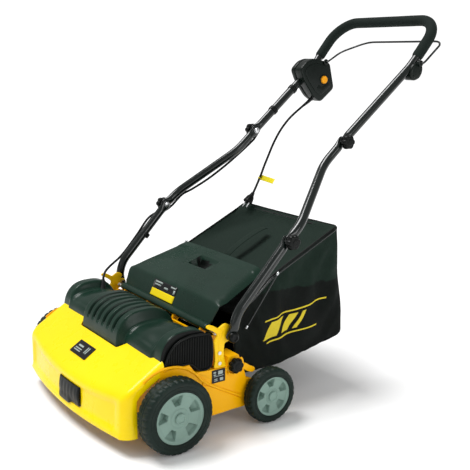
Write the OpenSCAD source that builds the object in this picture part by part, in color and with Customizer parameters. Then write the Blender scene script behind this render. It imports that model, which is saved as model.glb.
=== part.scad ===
// Electric lawn dethatcher with a folding handle and a rear grass bag. Millimetres, +Z up, front towards -Y.
// +X is the operator's left. Z = 0 is the ground. Y is measured from the front axle, then shifted by axle_y.

/* [Body] */
// Half width of the hood and chassis
half_w = 284; // [276:1:285]
// Wall thickness of the moulded shells
wall = 4; // [3:0.5:5]
// Y of the front axle, which puts the origin under the middle of the machine
axle_y = -402; // [-412:1:-392]

/* [Wheels] */
// Front wheel radius
front_r = 90; // [85:1:95]
// Rear wheel radius
rear_r = 70; // [66:1:74]
// Distance between the axles
wheelbase = 275; // [270:1:285]
// Front tyre width
front_tyre_w = 48; // [40:1:49]
// Rear tyre width
rear_tyre_w = 36; // [30:1:37]
// Outer face of the front tyres, from the middle
front_face_x = 340; // [338:1:345]
// Outer face of the rear tyres, from the middle
rear_face_x = 325; // [323:1:330]

/* [Rotor] */
// Radius swept by the tine tips
tine_r = 58; // [45:1:62]
// Tine pairs along the shaft
tine_pairs = 18; // [12:1:22]
// Height of the rotor shaft
rotor_z = 75; // [72:1:82]

/* [Handle] */
// Handle tube radius
tube_r = 12; // [11:0.5:12.5]
// Foam grip radius
grip_r = 15.5; // [14:0.5:16]
// Radius of the handle bar's two corners
corner_r = 75; // [60:1:90]

/* [Grass bag] */
// Half width of the bag
bag_half_w = 220; // [205:1:225]
// Fabric thickness
fabric = 2.5; // [2:0.5:4]

/* [Hidden] */
$fn = 48;
run = 0.08;                                   // radial clearance of a running fit
axle_r = 6;
rotor_y = 105;
motor_y = 95;
motor_z = 215;
flap_y = 152;                                 // flap hinge rod
flap_z = 240;
rod_r = 4;
foot_y = 172;                                 // handle foot pivots
foot_z = 238;
knee_y = 335;                                 // lower fold
knee_z = 451;
elbow_y = 595;                                // upper fold
elbow_z = 668;
lower_x = 297;                                // plane of the lower tubes
upper_x = 198;                                // plane of the upper tubes
bar_slope = 49;                               // slope of the grip loop
bend_y = 830;                                 // where the grip loop starts
bend_z = 860;
bar_s = 169;                                  // from there to the cross bar, along the slope
bail_y = 845;
bail_z = 869;
depth_y = 182;
depth_z = 163;
knob_gap = 0.4;
bolt_r = 4;
belt_x = 256;
badge_tilt = 33.4;
plate_x = 240;                                // inner side plates that carry the rotor
bearing_r = 20;
rotor_shaft_r = 8;
rotor_core_r = 13;
flap_ears = [-200, -70, 70, 200];             // chassis ears on the flap's rod
cover_z = 193.5;                              // lower edge of the motor cover
cover_back = 132;
cover_t = 3;
tunnel_w = 200;                               // raised middle of the motor cover
tunnel_x = -4;
tunnel_front = -35;
tunnel_top = 276;
groove_pitch = 28;
motor_shaft_r = 6;
housing_r = 26;
armature_r = 18;
fan_r = 24;
drive_r = 14;                                 // belt grooves of the two pulleys
driven_r = 34;
button_r = 12;
gland_end = [-239.8, 93.9, 267.7];
face_slope = 65.3;                            // steep front face of the flap
bag_slope = 25.1;                             // slope of the bag's top

// ---- helpers ----

module at_axle() translate([0, axle_y, 0]) children();

// A (Y, Z) outline extruded along X, centred on x0
module across(w, x0 = 0) translate([x0, 0, 0]) rotate([90, 0, 90])
    linear_extrude(w, center = true) children();

// A cylinder along X from x0 to x1
module bar_x(x0, x1, y, z, r) translate([min(x0, x1), y, z]) rotate([0, 90, 0])
    cylinder(h = abs(x1 - x0), r = r);

// A straight round bar between two points
module rod(a, b, r) {
    v = b - a;
    translate(a) rotate([0, acos(v[2] / norm(v)), atan2(v[1], v[0])]) cylinder(h = norm(v), r = r);
}

function unit(v) = v / norm(v);
function heading(p, i) = unit(p[min(i + 1, len(p) - 1)] - p[max(i - 1, 0)]);
function side_of(d) = abs(d[0]) > 0.9 ? unit(cross([0, 0, 1], d)) : unit(cross(d, [1, 0, 0]));
// Keeps the ring's first axis from twisting along the path
function carried(s, d) = unit(s - (s * d) * d);
function sides(p, i = 0, s = undef, out = []) = i == len(p) ? out :
    let (d = heading(p, i), n = s == undef ? side_of(d) : carried(s, d))
        sides(p, i + 1, n, concat(out, [n]));
function ring(c, d, s, r, n) = [for (k = [0:n - 1])
    c + r * (cos(360 * k / n) * s + sin(360 * k / n) * cross(d, s))];

// A solid round bar swept through points
module swept(p, r, n = 16) {
    s = sides(p);
    pts = [for (i = [0:len(p) - 1]) each ring(p[i], heading(p, i), s[i], r, n)];
    skin = [for (i = [0:len(p) - 2], k = [0:n - 1], h = [0, 1])
        h == 0 ? [i * n + k, i * n + (k + 1) % n, (i + 1) * n + (k + 1) % n]
               : [i * n + k, (i + 1) * n + (k + 1) % n, (i + 1) * n + k]];
    ends = [[for (k = [n - 1:-1:0]) k], [for (k = [0:n - 1]) (len(p) - 1) * n + k]];
    polyhedron(pts, [for (f = concat(skin, ends)) [for (k = [len(f) - 1:-1:0]) f[k]]], convexity = 8);
}

// A hollow tube swept through points
module tube(p, r, t, n = 16) {
    s = sides(p);
    m = 2 * n;
    pts = [for (i = [0:len(p) - 1]) each concat(ring(p[i], heading(p, i), s[i], r, n),
        ring(p[i], heading(p, i), s[i], r - t, n))];
    last = (len(p) - 1) * m;
    outer = [for (i = [0:len(p) - 2], k = [0:n - 1], h = [0, 1])
        h == 0 ? [i * m + k, (i + 1) * m + (k + 1) % n, i * m + (k + 1) % n]
               : [i * m + k, (i + 1) * m + k, (i + 1) * m + (k + 1) % n]];
    inner = [for (i = [0:len(p) - 2], k = [0:n - 1], h = [0, 1])
        h == 0 ? [i * m + n + k, i * m + n + (k + 1) % n, (i + 1) * m + n + (k + 1) % n]
               : [i * m + n + k, (i + 1) * m + n + (k + 1) % n, (i + 1) * m + n + k]];
    ends = [for (k = [0:n - 1], e = [0, 1])
        e == 0 ? [k, (k + 1) % n, n + (k + 1) % n, n + k]
               : [last + k, last + n + k, last + n + (k + 1) % n, last + (k + 1) % n]];
    polyhedron(pts, concat(outer, inner, ends), convexity = 8);
}

// Points of a round bend at b between a and c, starting t before it
function bend(a, b, c, t, n = 4) =
    [for (i = [0:n]) let (u = i / n, p = b + t * unit(a - b), q = b + t * unit(c - b))
        (1 - u) * (1 - u) * p + 2 * u * (1 - u) * b + u * u * q];

// Mirrors what follows to both sides
module both_sides() for (s = [0, 1]) mirror([s, 0, 0]) children();

// ---- chassis and casings ----

deck_outline = [[-20, 45], [-20, 190], [58, 188], [75, 165], [165, 160], [168, 184], [198, 184],
    [212, 150], [220, 120], [222, 48], [150, 45]];
deck_inside = [[-16, 40], [-16, 186], [56, 184], [73, 161], [168, 156], [172, 180], [195, 180],
    [208, 149], [216, 119], [218, 40]];
arm_outline = [[190, 48], [190, 118], [235, 112], [275, 92], [296, 78], [296, 60], [275, 48]];

module chassis() color("orange") at_axle() difference() {
    union() {
        difference() {
            across(2 * half_w) polygon(deck_outline);
            across(2 * (half_w - wall)) polygon(deck_inside);
        }
        both_sides() {
            across(20, half_w - 12) polygon(arm_outline);
            across(6, plate_x) polygon([[30, 52], [30, 186], [58, 186], [75, 163], [165, 158], [165, 52]]);
            across(6, plate_x) polygon([[134, 158], [134, 232], [158, 232], [166, 158]]);
        }
        across(486) polygon([[134, 160], [134, 228], [140, 228], [140, 160]]);
        for (x = flap_ears)
            across(7, x) polygon([[138, 200], [138, 232], [145, 249], [159, 249], [160, 236], [140, 200]]);
        both_sides() bar_x(half_w - wall, half_w + 1, depth_y, depth_z, 13);
    }
    both_sides() {
        bar_x(200, 300, 0, front_r, axle_r);
        bar_x(200, 300, wheelbase, rear_r, axle_r);
        bar_x(plate_x - 10, plate_x + 10, rotor_y, rotor_z, bearing_r);
    }
    for (x = flap_ears) bar_x(x - 5, x + 5, flap_y, flap_z, rod_r);
    both_sides() bar_x(plate_x - 4, plate_x + 4, flap_y, flap_z, 12);
    bar_x(half_w - 10, half_w + 5, depth_y, depth_z, 5 + run);
    translate([0, 180, 150]) cube([2 * 232, 72, 80], center = true);
    translate([0, 216, 116]) cube([2 * 205, 30, 60], center = true);
    translate([belt_x + 4, 100, 178]) cube([24, 76, 60], center = true);
}

function bow(x, inset) = -140 + inset + x * x / 2690;
function hood_plan(inset) = let (w = half_w - inset, n = 12)
    concat([for (i = [-n:n]) let (x = i / n * (w - 22)) [x, bow(x, inset)]],
        [for (a = [15:15:90]) [w - 22 + 22 * sin(a), bow(w - 22, inset) + 2 + 22 * (1 - cos(a))]],
        [[w, 0], [-w, 0]],
        [for (a = [90:-15:15]) [-w + 22 - 22 * sin(a), bow(w - 22, inset) + 2 + 22 * (1 - cos(a))]]);
function hood_profile(inset) = [[-150, 42 - inset], [-150, 127 - inset], [-138, 133 - inset],
    [-104, 153 - inset], [-60, 182 - inset], [-34, 198 - inset], [-9, 212 - inset], [-9, 42 - inset]];

module hood_form(inset) intersection() {
    linear_extrude(260) polygon(hood_plan(inset));
    across(2 * half_w) polygon(hood_profile(inset));
}

module front_hood() color("yellow") at_axle() difference() {
    hood_form(0);
    translate([0, 0, -0.01]) hood_form(wall - 0.5);
    translate([-300, -20.3, 0]) cube([600, 40, 193]);
    translate([-274.6, -19.6, 150]) cube([549.2, 60, 90]);
    translate([tunnel_x - tunnel_w / 2 - 0.6, tunnel_front - 1, 150]) cube([tunnel_w + 1.2, 60, 90]);
    translate([-60, -160, 30]) cube([120, 40, 22]);
    translate([-16, -150, 80]) cube([112, 30, 32]);
}

module hood_latch() color("black") at_axle() {
    translate([-15, -141, 81]) cube([110, 12, 30]);
    translate([-8, -149, 64]) cube([80, 8.6, 46]);
    translate([0, -152, 56]) cube([46, 8, 14]);
}

// Blank plates: one on the hood's slope, one on each side of the chassis
module labels() color("black") at_axle() {
    translate([0, -82, 168.8]) rotate([badge_tilt, 0, 0]) cube([90, 40, 1.6], center = true);
    both_sides() translate([half_w + 0.6, 138.5, 143.5]) cube([1.2, 38, 33], center = true);
}

// A low arch from y0 to y1 standing on z0
function dome(y0, z0, y1, top) = concat([[y0, z0]],
    [for (a = [160:-20:20]) [(y0 + y1) / 2 + (y1 - y0) / 2 * cos(a), z0 + (top - z0) * sin(a)]], [[y1, z0]]);

cover_w = 548;
module cover_inside(w, x0, front, top) across(w - 2 * cover_t, x0)
    polygon(dome(front + cover_t, cover_z - 0.5, cover_back - cover_t, top - cover_t));

module cover_skin(w, x0, front, top) difference() {
    across(w, x0) polygon(dome(front, cover_z, cover_back, top));
    cover_inside(w, x0, front, top);
}

module motor_cover() color("darkslategray") at_axle() difference() {
    union() {
        cover_skin(cover_w, 0, -19, 259);
        cover_skin(tunnel_w, tunnel_x, tunnel_front, tunnel_top);
        both_sides() cover_skin(38, 255, -14, 269);
        translate([-cover_w / 2, 60, cover_z - 5]) cube([cover_w, cover_back - 60, 5.2]);
    }
    translate([cover_t - cover_w / 2, 62, cover_z - 14])
        cube([cover_w - 2 * cover_t, cover_back - cover_t - 62, 20]);
    cover_inside(tunnel_w, tunnel_x, tunnel_front, tunnel_top);
    both_sides() cover_inside(40, 254, -14, 269);
    for (i = [-3:2]) translate([i * groove_pitch + 8, 20, tunnel_top + 9])
        cube([12, 100, 60], center = true);
    bar_x(90, 268, motor_y, motor_z, drive_r);
}

vent_outline = [[-6, 195], [7, 227], [39, 251], [66, 258], [114, 254], [123, 240], [125, 202],
    [123, 176], [112, 164.5], [93, 165.4], [76, 172], [63, 189.5], [12, 191]];

module end_vent() difference() {
    across(9, half_w - 4.7) polygon(vent_outline);
    across(6, half_w - 7.7) offset(delta = -4) polygon(vent_outline);
    for (i = [0:8]) across(20, half_w) polygon([[26 + i * 11, 200], [26 + i * 11, 240], [30 + i * 11, 240],
        [30 + i * 11, 200]]);
}

module end_vents() color("black") at_axle() both_sides() end_vent();

// A plate with two spread horns and a lug at the handle's pivot
bracket_outline = [[127, 162.6], [164, 160.8], [158, 178], [155, 200], [158, 222], [172, 225], [182, 229],
    [185, 238], [182, 247], [168, 252], [174, 257], [172, 265], [160, 271], [150, 267], [141, 261],
    [128, 270], [116, 275], [108, 274], [106, 268], [113, 264], [128, 255], [137, 247], [136, 240],
    [128, 228], [129, 215], [131, 185]];

module foot_bracket() difference() {
    across(6, half_w - 3.2) polygon(bracket_outline);
    bar_x(270, 300, foot_y, foot_z, bolt_r);
}

module foot_brackets() color("gold") at_axle() both_sides() foot_bracket();

module flap_rod() color("silver") at_axle() {
    bar_x(-248, 248, flap_y, flap_z, rod_r);
    both_sides() bar_x(248, 253, flap_y, flap_z, 6.5);
}

module rotor_bearings() color("silver") at_axle() both_sides() difference() {
    bar_x(plate_x - 5, plate_x + 7, rotor_y, rotor_z, bearing_r);
    bar_x(plate_x - 10, plate_x + 10, rotor_y, rotor_z, rotor_shaft_r + run);
}

module axles() color("silver") at_axle() {
    bar_x(-front_face_x + 9, front_face_x - 9, 0, front_r, axle_r);
    bar_x(-rear_face_x + 9, rear_face_x - 9, wheelbase, rear_r, axle_r);
}

module motor_housing() color("dimgray") at_axle() difference() {
    union() {
        bar_x(-60, 80, motor_y, motor_z, housing_r);
        for (x = [-50, 50]) translate([x, 78, 165]) cube([20, 46, 30]);
    }
    bar_x(-56, 76, motor_y, motor_z, housing_r - 3);
    bar_x(-70, 90, motor_y, motor_z, motor_shaft_r + run);
}

module belt_guard() color("dimgray") at_axle() difference() {
    across(2.5, 269) {
        translate([motor_y, 212]) circle(r = 26);
        translate([rotor_y, rotor_z]) circle(r = 28);
        polygon([[70, 212], [77, 80], [133, 80], [121, 212]]);
    }
    bar_x(260, 280, rotor_y, rotor_z, 12);
}

// Half outline of the belt round both pulleys, r mm outside their grooves
module belt_loop(r) {
    translate([motor_y, motor_z]) circle(r = drive_r + r);
    translate([rotor_y, rotor_z]) circle(r = driven_r + r);
    polygon([[motor_y - drive_r - r, motor_z - 2], [rotor_y - driven_r - r, rotor_z + 7],
        [rotor_y + driven_r + r, rotor_z + 3], [motor_y + drive_r + r, motor_z + 1]]);
}

module drive_belt() color("black") at_axle() difference() {
    across(7, belt_x) belt_loop(3.6);
    across(9, belt_x) belt_loop(0.6);
}

module casing_screws() color("silver") at_axle() {
    both_sides() for (p = [[142, 174], [142, 200]]) bar_x(half_w - 0.2, half_w + 2.5, p[0], p[1], 4.5);
    both_sides() bar_x(half_w - 12, lower_x - 2.8, foot_y, foot_z, bolt_r);
    both_sides() bar_x(half_w - 15, half_w - 6.3, foot_y, foot_z, 8);
}

module cable_gland() color("black") at_axle() rod([-226, 84, 240], gland_end, 7);

// ---- rotor and motor ----

module rotor_shaft() color("gray") at_axle() {
    bar_x(-252, 268, rotor_y, rotor_z, rotor_shaft_r);
    bar_x(-225, 225, rotor_y, rotor_z, rotor_core_r);
}

module rotor_tines() color("silver") at_axle() difference() {
    for (i = [0:tine_pairs - 1]) translate([-212 + i * 424 / (tine_pairs - 1), rotor_y, rotor_z])
        rotate([i * 50, 0, 0]) {
            cube([3, 2 * tine_r - 6, 16], center = true);
            rotate([0, 90, 0]) cylinder(h = 10, r = 17, center = true);
        }
    bar_x(-230, 230, rotor_y, rotor_z, rotor_core_r);
}

module pulley(r) {
    cylinder(h = 11, r = r - 0.5, center = true);
    for (s = [-1, 1]) translate([0, 0, s * 5]) cylinder(h = 1.5, r = r + 5, center = true);
}

module rotor_pulley() color("dimgray") at_axle() difference() {
    translate([belt_x, rotor_y, rotor_z]) rotate([0, 90, 0]) pulley(driven_r);
    bar_x(240, 270, rotor_y, rotor_z, rotor_shaft_r);
}

module motor_shaft() color("silver") at_axle() {
    bar_x(-88, 263, motor_y, motor_z, motor_shaft_r);
    bar_x(-40, 62, motor_y, motor_z, armature_r);
}

module motor_pulley() color("dimgray") at_axle() difference() {
    translate([belt_x, motor_y, motor_z]) rotate([0, 90, 0]) pulley(drive_r);
    bar_x(240, 270, motor_y, motor_z, motor_shaft_r);
}

module motor_fan() color("black") at_axle() difference() {
    union() {
        bar_x(-84, -66, motor_y, motor_z, 12);
        for (a = [0:45:315]) translate([-75, motor_y, motor_z]) rotate([a, 0, 0]) translate([-7, -1, 8])
            cube([14, 2, fan_r - 8.2]);
    }
    bar_x(-90, -60, motor_y, motor_z, motor_shaft_r);
}

// ---- wheels ----

module tyre(face_x, y, r, w, rim) difference() {
    bar_x(face_x - w, face_x, y, r, r);
    bar_x(face_x - w - 1, face_x + 1, y, r, rim);
}

module hub(face_x, y, r, w, rim) difference() {
    union() {
        difference() {
            bar_x(face_x - w + 3, face_x - 1, y, r, rim);
            bar_x(face_x - w, face_x + 1, y, r, rim - 5);
        }
        bar_x(face_x - 13, face_x - 4, y, r, rim - 4);
        bar_x(face_x - w - 0.5, face_x - 4, y, r, 15);
    }
    for (a = [0:72:288]) translate([face_x - 20, y, r]) rotate([a, 0, 0]) translate([0, 0, rim * 0.6])
        rotate([0, 90, 0]) cylinder(h = 30, r = rim * 0.2);
    bar_x(face_x - w - 2, face_x - 8, y, r, axle_r + run);
}

module hub_cap(face_x, y, r) difference() {
    bar_x(face_x - 4, face_x + 2, y, r, 13);
    bar_x(face_x - 5, face_x - 2, y, r, 10);
}

front_rim = 62.5;
rear_rim = 50;
module front_tyre() tyre(front_face_x, 0, front_r, front_tyre_w, front_rim);
module front_hub() hub(front_face_x, 0, front_r, front_tyre_w, front_rim);
module front_cap() hub_cap(front_face_x, 0, front_r);
module rear_tyre() tyre(rear_face_x, wheelbase, rear_r, rear_tyre_w, rear_rim);
module rear_hub() hub(rear_face_x, wheelbase, rear_r, rear_tyre_w, rear_rim);
module rear_cap() hub_cap(rear_face_x, wheelbase, rear_r);

module front_left_tyre() color("darkslategray") at_axle() front_tyre();
module front_left_hub() color("lightslategray") at_axle() front_hub();
module front_left_cap() color("gray") at_axle() front_cap();
module front_right_tyre() color("darkslategray") at_axle() mirror([1, 0, 0]) front_tyre();
module front_right_hub() color("lightslategray") at_axle() mirror([1, 0, 0]) front_hub();
module front_right_cap() color("gray") at_axle() mirror([1, 0, 0]) front_cap();
module rear_left_tyre() color("darkslategray") at_axle() rear_tyre();
module rear_left_hub() color("lightslategray") at_axle() rear_hub();
module rear_left_cap() color("gray") at_axle() rear_cap();
module rear_right_tyre() color("darkslategray") at_axle() mirror([1, 0, 0]) rear_tyre();
module rear_right_hub() color("lightslategray") at_axle() mirror([1, 0, 0]) rear_hub();
module rear_right_cap() color("gray") at_axle() mirror([1, 0, 0]) rear_cap();

// ---- flap ----

flap_top = [[149, 238], [154, 250], [177, 300], [182, 305], [190, 308.5], [334, 360]];
flap_under = [[334, 356.4], [191, 304.9], [184.5, 302], [180.2, 298.5], [157.2, 248.5], [152.6, 238]];

module flap_plan() polygon([for (s = [1, -1], p = s == 1 ?
    [[190, 140], [222, 152], [230, 172], [226, 210], [194, 336]] :
    [[194, 336], [226, 210], [230, 172], [222, 152], [190, 140]]) [s * p[0], p[1]]]);

module rear_flap() color("darkslategray") at_axle() difference() {
    union() {
        intersection() {
            across(470) polygon(concat(flap_top, flap_under));
            linear_extrude(400) flap_plan();
        }
        for (x = [-220, -135, 0, 135, 220]) bar_x(x - (abs(x) > 200 ? 12 : 50), x + (abs(x) > 200 ? 12 : 50),
            flap_y, flap_z, 8);
        translate([-46, 262, 318]) cube([92, 44, 22]);
    }
    for (x = flap_ears) bar_x(x - 4.2, x + 4.2, flap_y, flap_z, 14);
    bar_x(-250, 250, flap_y, flap_z, rod_r + run);
    translate([-42, 266, 322]) cube([84, 36, 50]);
}

module flap_label() color("yellow") at_axle() translate([-20, 164.3, 274.4]) rotate([face_slope, 0, 0])
    cube([122, 46, 1.1], center = true);

// ---- grass bag ----

bag_outline = [[232, 92], [389, 96], [598, 134], [574, 451], [348, 345], [302, 303], [226, 262]];
bag_space = [[220, 94.6], [388, 98.6], [595.2, 136.3], [571.8, 447.2], [349, 342.2], [303, 300], [215, 251]];

module grass_bag() color("black") at_axle() difference() {
    across(2 * bag_half_w) polygon(bag_outline);
    across(2 * (bag_half_w - fabric)) polygon(bag_space);
}

module bag_frame() color("gray") at_axle() {
    x = bag_half_w - fabric - 3.2;
    mouth = [[0, 236, 100], [-x, 236, 100], [-x, 232, 248], [-x, 300, 294], [-x, 350, 335], [-x, 564, 436],
        [x, 564, 436], [x, 350, 335], [x, 300, 294], [x, 232, 248], [x, 236, 100], [1, 236, 100]];
    swept(mouth, 3, 8);
    both_sides() rod([bag_half_w + 4, 262, 220], [bag_half_w + 4, 372, 362], 3);
}

module bag_strap() color("black") at_axle() {
    translate([5, 420, 378.8]) rotate([bag_slope, 0, 0]) {
        for (s = [-1, 1]) translate([0, s * 62, 2]) cube([26, 24, 3], center = true);
        for (s = [-1, 1]) translate([0, s * 54, 7]) cube([22, 5, 10], center = true);
        translate([0, 0, 12]) cube([22, 113, 3], center = true);
    }
}

// ---- handle ----

ear = 27;                                     // from a fold's bolt to the round tube
foot = [lower_x, foot_y, foot_z];
knee = [lower_x, knee_y, knee_z];
elbow = [upper_x, elbow_y, elbow_z];
foot_bend = [lower_x, 182, 292];
knee_bend = [lower_x - 2, 375, 485];
elbow_bend = [upper_x, 530, 612];
lower_path = concat([foot + ear * unit(foot_bend - foot)], bend(foot, foot_bend, knee, 26),
    [knee - ear * unit(knee - foot_bend)]);
middle_path = concat([knee + ear * unit(knee_bend - knee)], bend(knee, knee_bend, elbow_bend, 22),
    bend(knee_bend, elbow_bend, elbow, 28), [elbow - ear * unit(elbow - elbow_bend)]);

// A point of the grip loop: x across, s up its slope
function loop_point(x, s) = [x, bend_y + s * cos(bar_slope), bend_z + s * sin(bar_slope)];
loop_x = 206;
upper_bend = [loop_x - 3, bend_y, bend_z];
half_loop = concat(bend(elbow, upper_bend, loop_point(loop_x, 60), 16, 2),
    [for (a = [0:15:90])
        loop_point(loop_x - corner_r + corner_r * cos(a), bar_s - corner_r + corner_r * sin(a))]);
function flipped(p) = [for (i = [len(p) - 1:-1:0]) [-p[i][0], p[i][1], p[i][2]]];
loop_path = concat([elbow + ear * unit(upper_bend - elbow)], half_loop, flipped(half_loop),
    flipped([elbow + ear * unit(upper_bend - elbow)]));
grip_start = loop_point(loop_x - 1, 32);
grip_path = concat([grip_start], [for (i = [3:len(half_loop) - 1]) half_loop[i]],
    flipped([for (i = [3:len(half_loop) - 1]) half_loop[i]]), flipped([grip_start]));

// The flattened end of a tube: a round eye at pivot c and a neck to point p, between x0 and x1
module eye(c, p, x0, x1) {
    w = abs(x1 - x0);
    a = atan2(p[2] - c[2], p[1] - c[1]);
    l = norm([p[1] - c[1], p[2] - c[2]]) + 6;
    difference() {
        translate([(x0 + x1) / 2, c[1], c[2]]) rotate([a, 0, 0]) {
            rotate([0, 90, 0]) cylinder(h = w, r = 12.5, center = true);
            translate([0, l / 2, 0]) cube([w, l, 22], center = true);
        }
        bar_x(min(x0, x1) - 1, max(x0, x1) + 1, c[1], c[2], bolt_r + run);
    }
}

module lower_tubes() color("black") at_axle() both_sides() {
    tube(lower_path, tube_r, 1.5);
    eye(foot, lower_path[0], lower_x - 11, lower_x - 3);
    eye(knee, lower_path[len(lower_path) - 1], lower_x - 9, lower_x - 0.3);
    bar_x(lower_x - 14, lower_x + 22, knee_y, knee_z, bolt_r);
}

// Bolt heads and their plastic caps on the foot pivots
module foot_caps() color("black") at_axle() both_sides()
    bar_x(lower_x - 2.6, lower_x + 12, foot_y, foot_z, 14);

module middle_tubes() color("black") at_axle() both_sides() {
    tube(middle_path, tube_r, 1.5);
    eye(knee, middle_path[0], lower_x + 0.3, lower_x + 9);
    eye(elbow, middle_path[len(middle_path) - 1], upper_x - 9, upper_x - 0.3);
    bar_x(upper_x - 14, upper_x + 22, elbow_y, elbow_z, bolt_r);
}

module grip_tube() color("black") at_axle() {
    tube(loop_path, tube_r, 1.5);
    both_sides() eye(elbow, loop_path[0], upper_x + 0.3, upper_x + 9);
}

module foam_grip() color("darkslategray") at_axle() tube(grip_path, grip_r, grip_r - tube_r - 0.2);

box_outline = [[772, 872], [744, 846], [762, 812], [800, 764], [830, 744], [886, 786], [866, 868],
    [802, 882]];

module tube_channel() rod(elbow + 60 * unit(upper_bend - elbow), upper_bend + 4 * unit(upper_bend - elbow),
    tube_r + 0.05);

module box_half(x0, x1) difference() {
    across(x1 - x0, (x0 + x1) / 2) polygon(box_outline);
    mirror([1, 0, 0]) {
        tube_channel();
        rod(upper_bend - 3 * unit(upper_bend - elbow), loop_point(loop_x, 60), grip_r + 0.05);
    }
}

module switch_box_outer() color("darkslategray") at_axle() box_half(-222, -203.2);

module switch_box_inner() color("darkslategray") at_axle() difference() {
    box_half(-202.8, -166);
    across(25, -182) polygon([[806, 790], [832, 770], [868, 794], [860, 832], [834, 826]]);
    bar_x(-190, -160, 838, 815, button_r + run);
    bar_x(-176, -160, bail_y, bail_z, 3 + run);
}

module bail_bracket() color("darkslategray") at_axle() difference() {
    union() {
        bar_x(186, 222, 838, 848, 25);
        bar_x(221, 231, bail_y, bail_z, 8);
    }
    rod(upper_bend - 45 * unit(upper_bend - elbow), loop_point(loop_x, 45), tube_r + 1.2);
    bar_x(224, 240, bail_y, bail_z, 3 + run);
}

module cable_clips() color("black") at_axle() {
    for (t = [0.3, 0.62]) difference() {
        p = [-upper_x, elbow_y, elbow_z] + t * [upper_x - loop_x + 3, bend_y - elbow_y, bend_z - elbow_z];
        d = unit([upper_x - loop_x + 3, bend_y - elbow_y, bend_z - elbow_z]);
        rod(p - 6 * d, p + 6 * d, tube_r + 3);
        rod(p - 8 * d, p + 8 * d, tube_r + 0.1);
    }
}

// ---- knobs ----

module star_knob(r, h) difference() {
    union() {
        cylinder(h = h, r = r - 3);
        for (a = [0:60:300]) rotate([0, 0, a]) translate([r - 5, 0, 0]) cylinder(h = h * 0.8, r = 5);
    }
    translate([0, 0, -1]) cylinder(h = h - 5, r = bolt_r + run);
}

module knee_knob() {
    translate([lower_x + 9 + knob_gap, knee_y, knee_z]) rotate([0, 90, 0]) star_knob(20, 22);
}
module elbow_knob() {
    translate([upper_x + 9 + knob_gap, elbow_y, elbow_z]) rotate([0, 90, 0]) star_knob(20, 22);
}

module left_knee_knob() color("black") at_axle() knee_knob();
module right_knee_knob() color("black") at_axle() mirror([1, 0, 0]) knee_knob();
module left_elbow_knob() color("black") at_axle() elbow_knob();
module right_elbow_knob() color("black") at_axle() mirror([1, 0, 0]) elbow_knob();

module depth_knob() color("black") at_axle() {
    bar_x(half_w - 18, half_w + 3, depth_y, depth_z, 5);
    translate([half_w + 2, depth_y, depth_z]) rotate([0, 90, 0]) cylinder(h = 22, r = 15);
    for (a = [0:60:300]) translate([half_w + 2, depth_y, depth_z]) rotate([a, 0, 0]) translate([0, 0, 15])
        rotate([0, 90, 0]) cylinder(h = 18, r = 4.5);
}

bail_path = concat([[-174, bail_y, bail_z], [-160, bail_y, bail_z]],
    bend([-160, bail_y, bail_z], [-155, 898, 900], [-92, 950, 929], 20),
    bend([-155, 898, 900], [-92, 950, 929], [160, 950, 929], 30),
    bend([-92, 950, 929], [205, 950, 929], [236, 890, 894], 28),
    [[236, 858, 877], [236, bail_y, bail_z], [225, bail_y, bail_z]]);
module bail() color("dimgray") at_axle() swept(bail_path, 3, 12);

module lock_button() color("darkorange") at_axle() {
    bar_x(-178, -160, 838, 815, button_r);
}

// ---- cables ----

cable_r = 3.5;
low_cable_path = [[-240, 94, 268], [-243.4, 96.4, 274.8], [-258, 110, 286], [-282, 136, 292],
    [-304, 162, 294], [-313.5, 184, 304], [-313, 208, 326], [-312.8, 246, 366], [-312.8, 286, 408]];
mid_cable_path = [[-292, 390, 476], [-276, 419, 494], [-251, 459, 524], [-227, 496.5, 558],
    [-208, 525, 586.5], [-199, 562, 618]];
top_cable_path = [[-219, 640, 704], [-220, 690, 745], [-221, 736, 783]];
module cable_lower() color("black") at_axle() swept(low_cable_path, cable_r, 8);
module cable_middle() color("black") at_axle() swept(mid_cable_path, cable_r, 8);
module cable_upper() color("black") at_axle() swept(top_cable_path, cable_r, 8);

mains_path = [[-184, 806, 758], [-183.5, 788, 746], [-183.2, 769.5, 735], [-183, 751, 723.5],
    [-182.7, 732.5, 711.5], [-182.4, 715, 698.5], [-182, 699, 684], [-182, 684, 668],
    [-182, 670.5, 650.5], [-182, 658.5, 632.5], [-182, 647.5, 613.5], [-182, 637.5, 594],
    [-182, 627.5, 574.5], [-181.5, 617.5, 555.5], [-179.5, 607, 536], [-177, 595.5, 517.5],
    [-173.5, 583, 499.5], [-170, 570, 482]];
module mains_lead() color("black") at_axle() swept(mains_path, cable_r, 8);

// The plug hangs pins down from the lead's end, pins pin_pcd apart
plug_top = [-170, 570, 482];
plug_way = unit([0, -22, -27]);
plug_l = 36;
pin_pcd = 19;
pin_r = 2.4;
pin_l = 17;

module mains_plug() color("black") at_axle() {
    rod(plug_top, plug_top + 14 * plug_way, 7);
    rod(plug_top + 14 * plug_way, plug_top + plug_l * plug_way, 15);
    for (s = [-1, 1]) rod(plug_top + [s * pin_pcd / 2, 0, 0] + plug_l * plug_way,
        plug_top + [s * pin_pcd / 2, 0, 0] + (plug_l + pin_l) * plug_way, pin_r);
}

module lead_tag() color("yellow") at_axle() translate([-152, 605.6, 522.3]) rotate([-32, 4, 0])
    cube([76, 1.2, 17], center = true);

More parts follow.
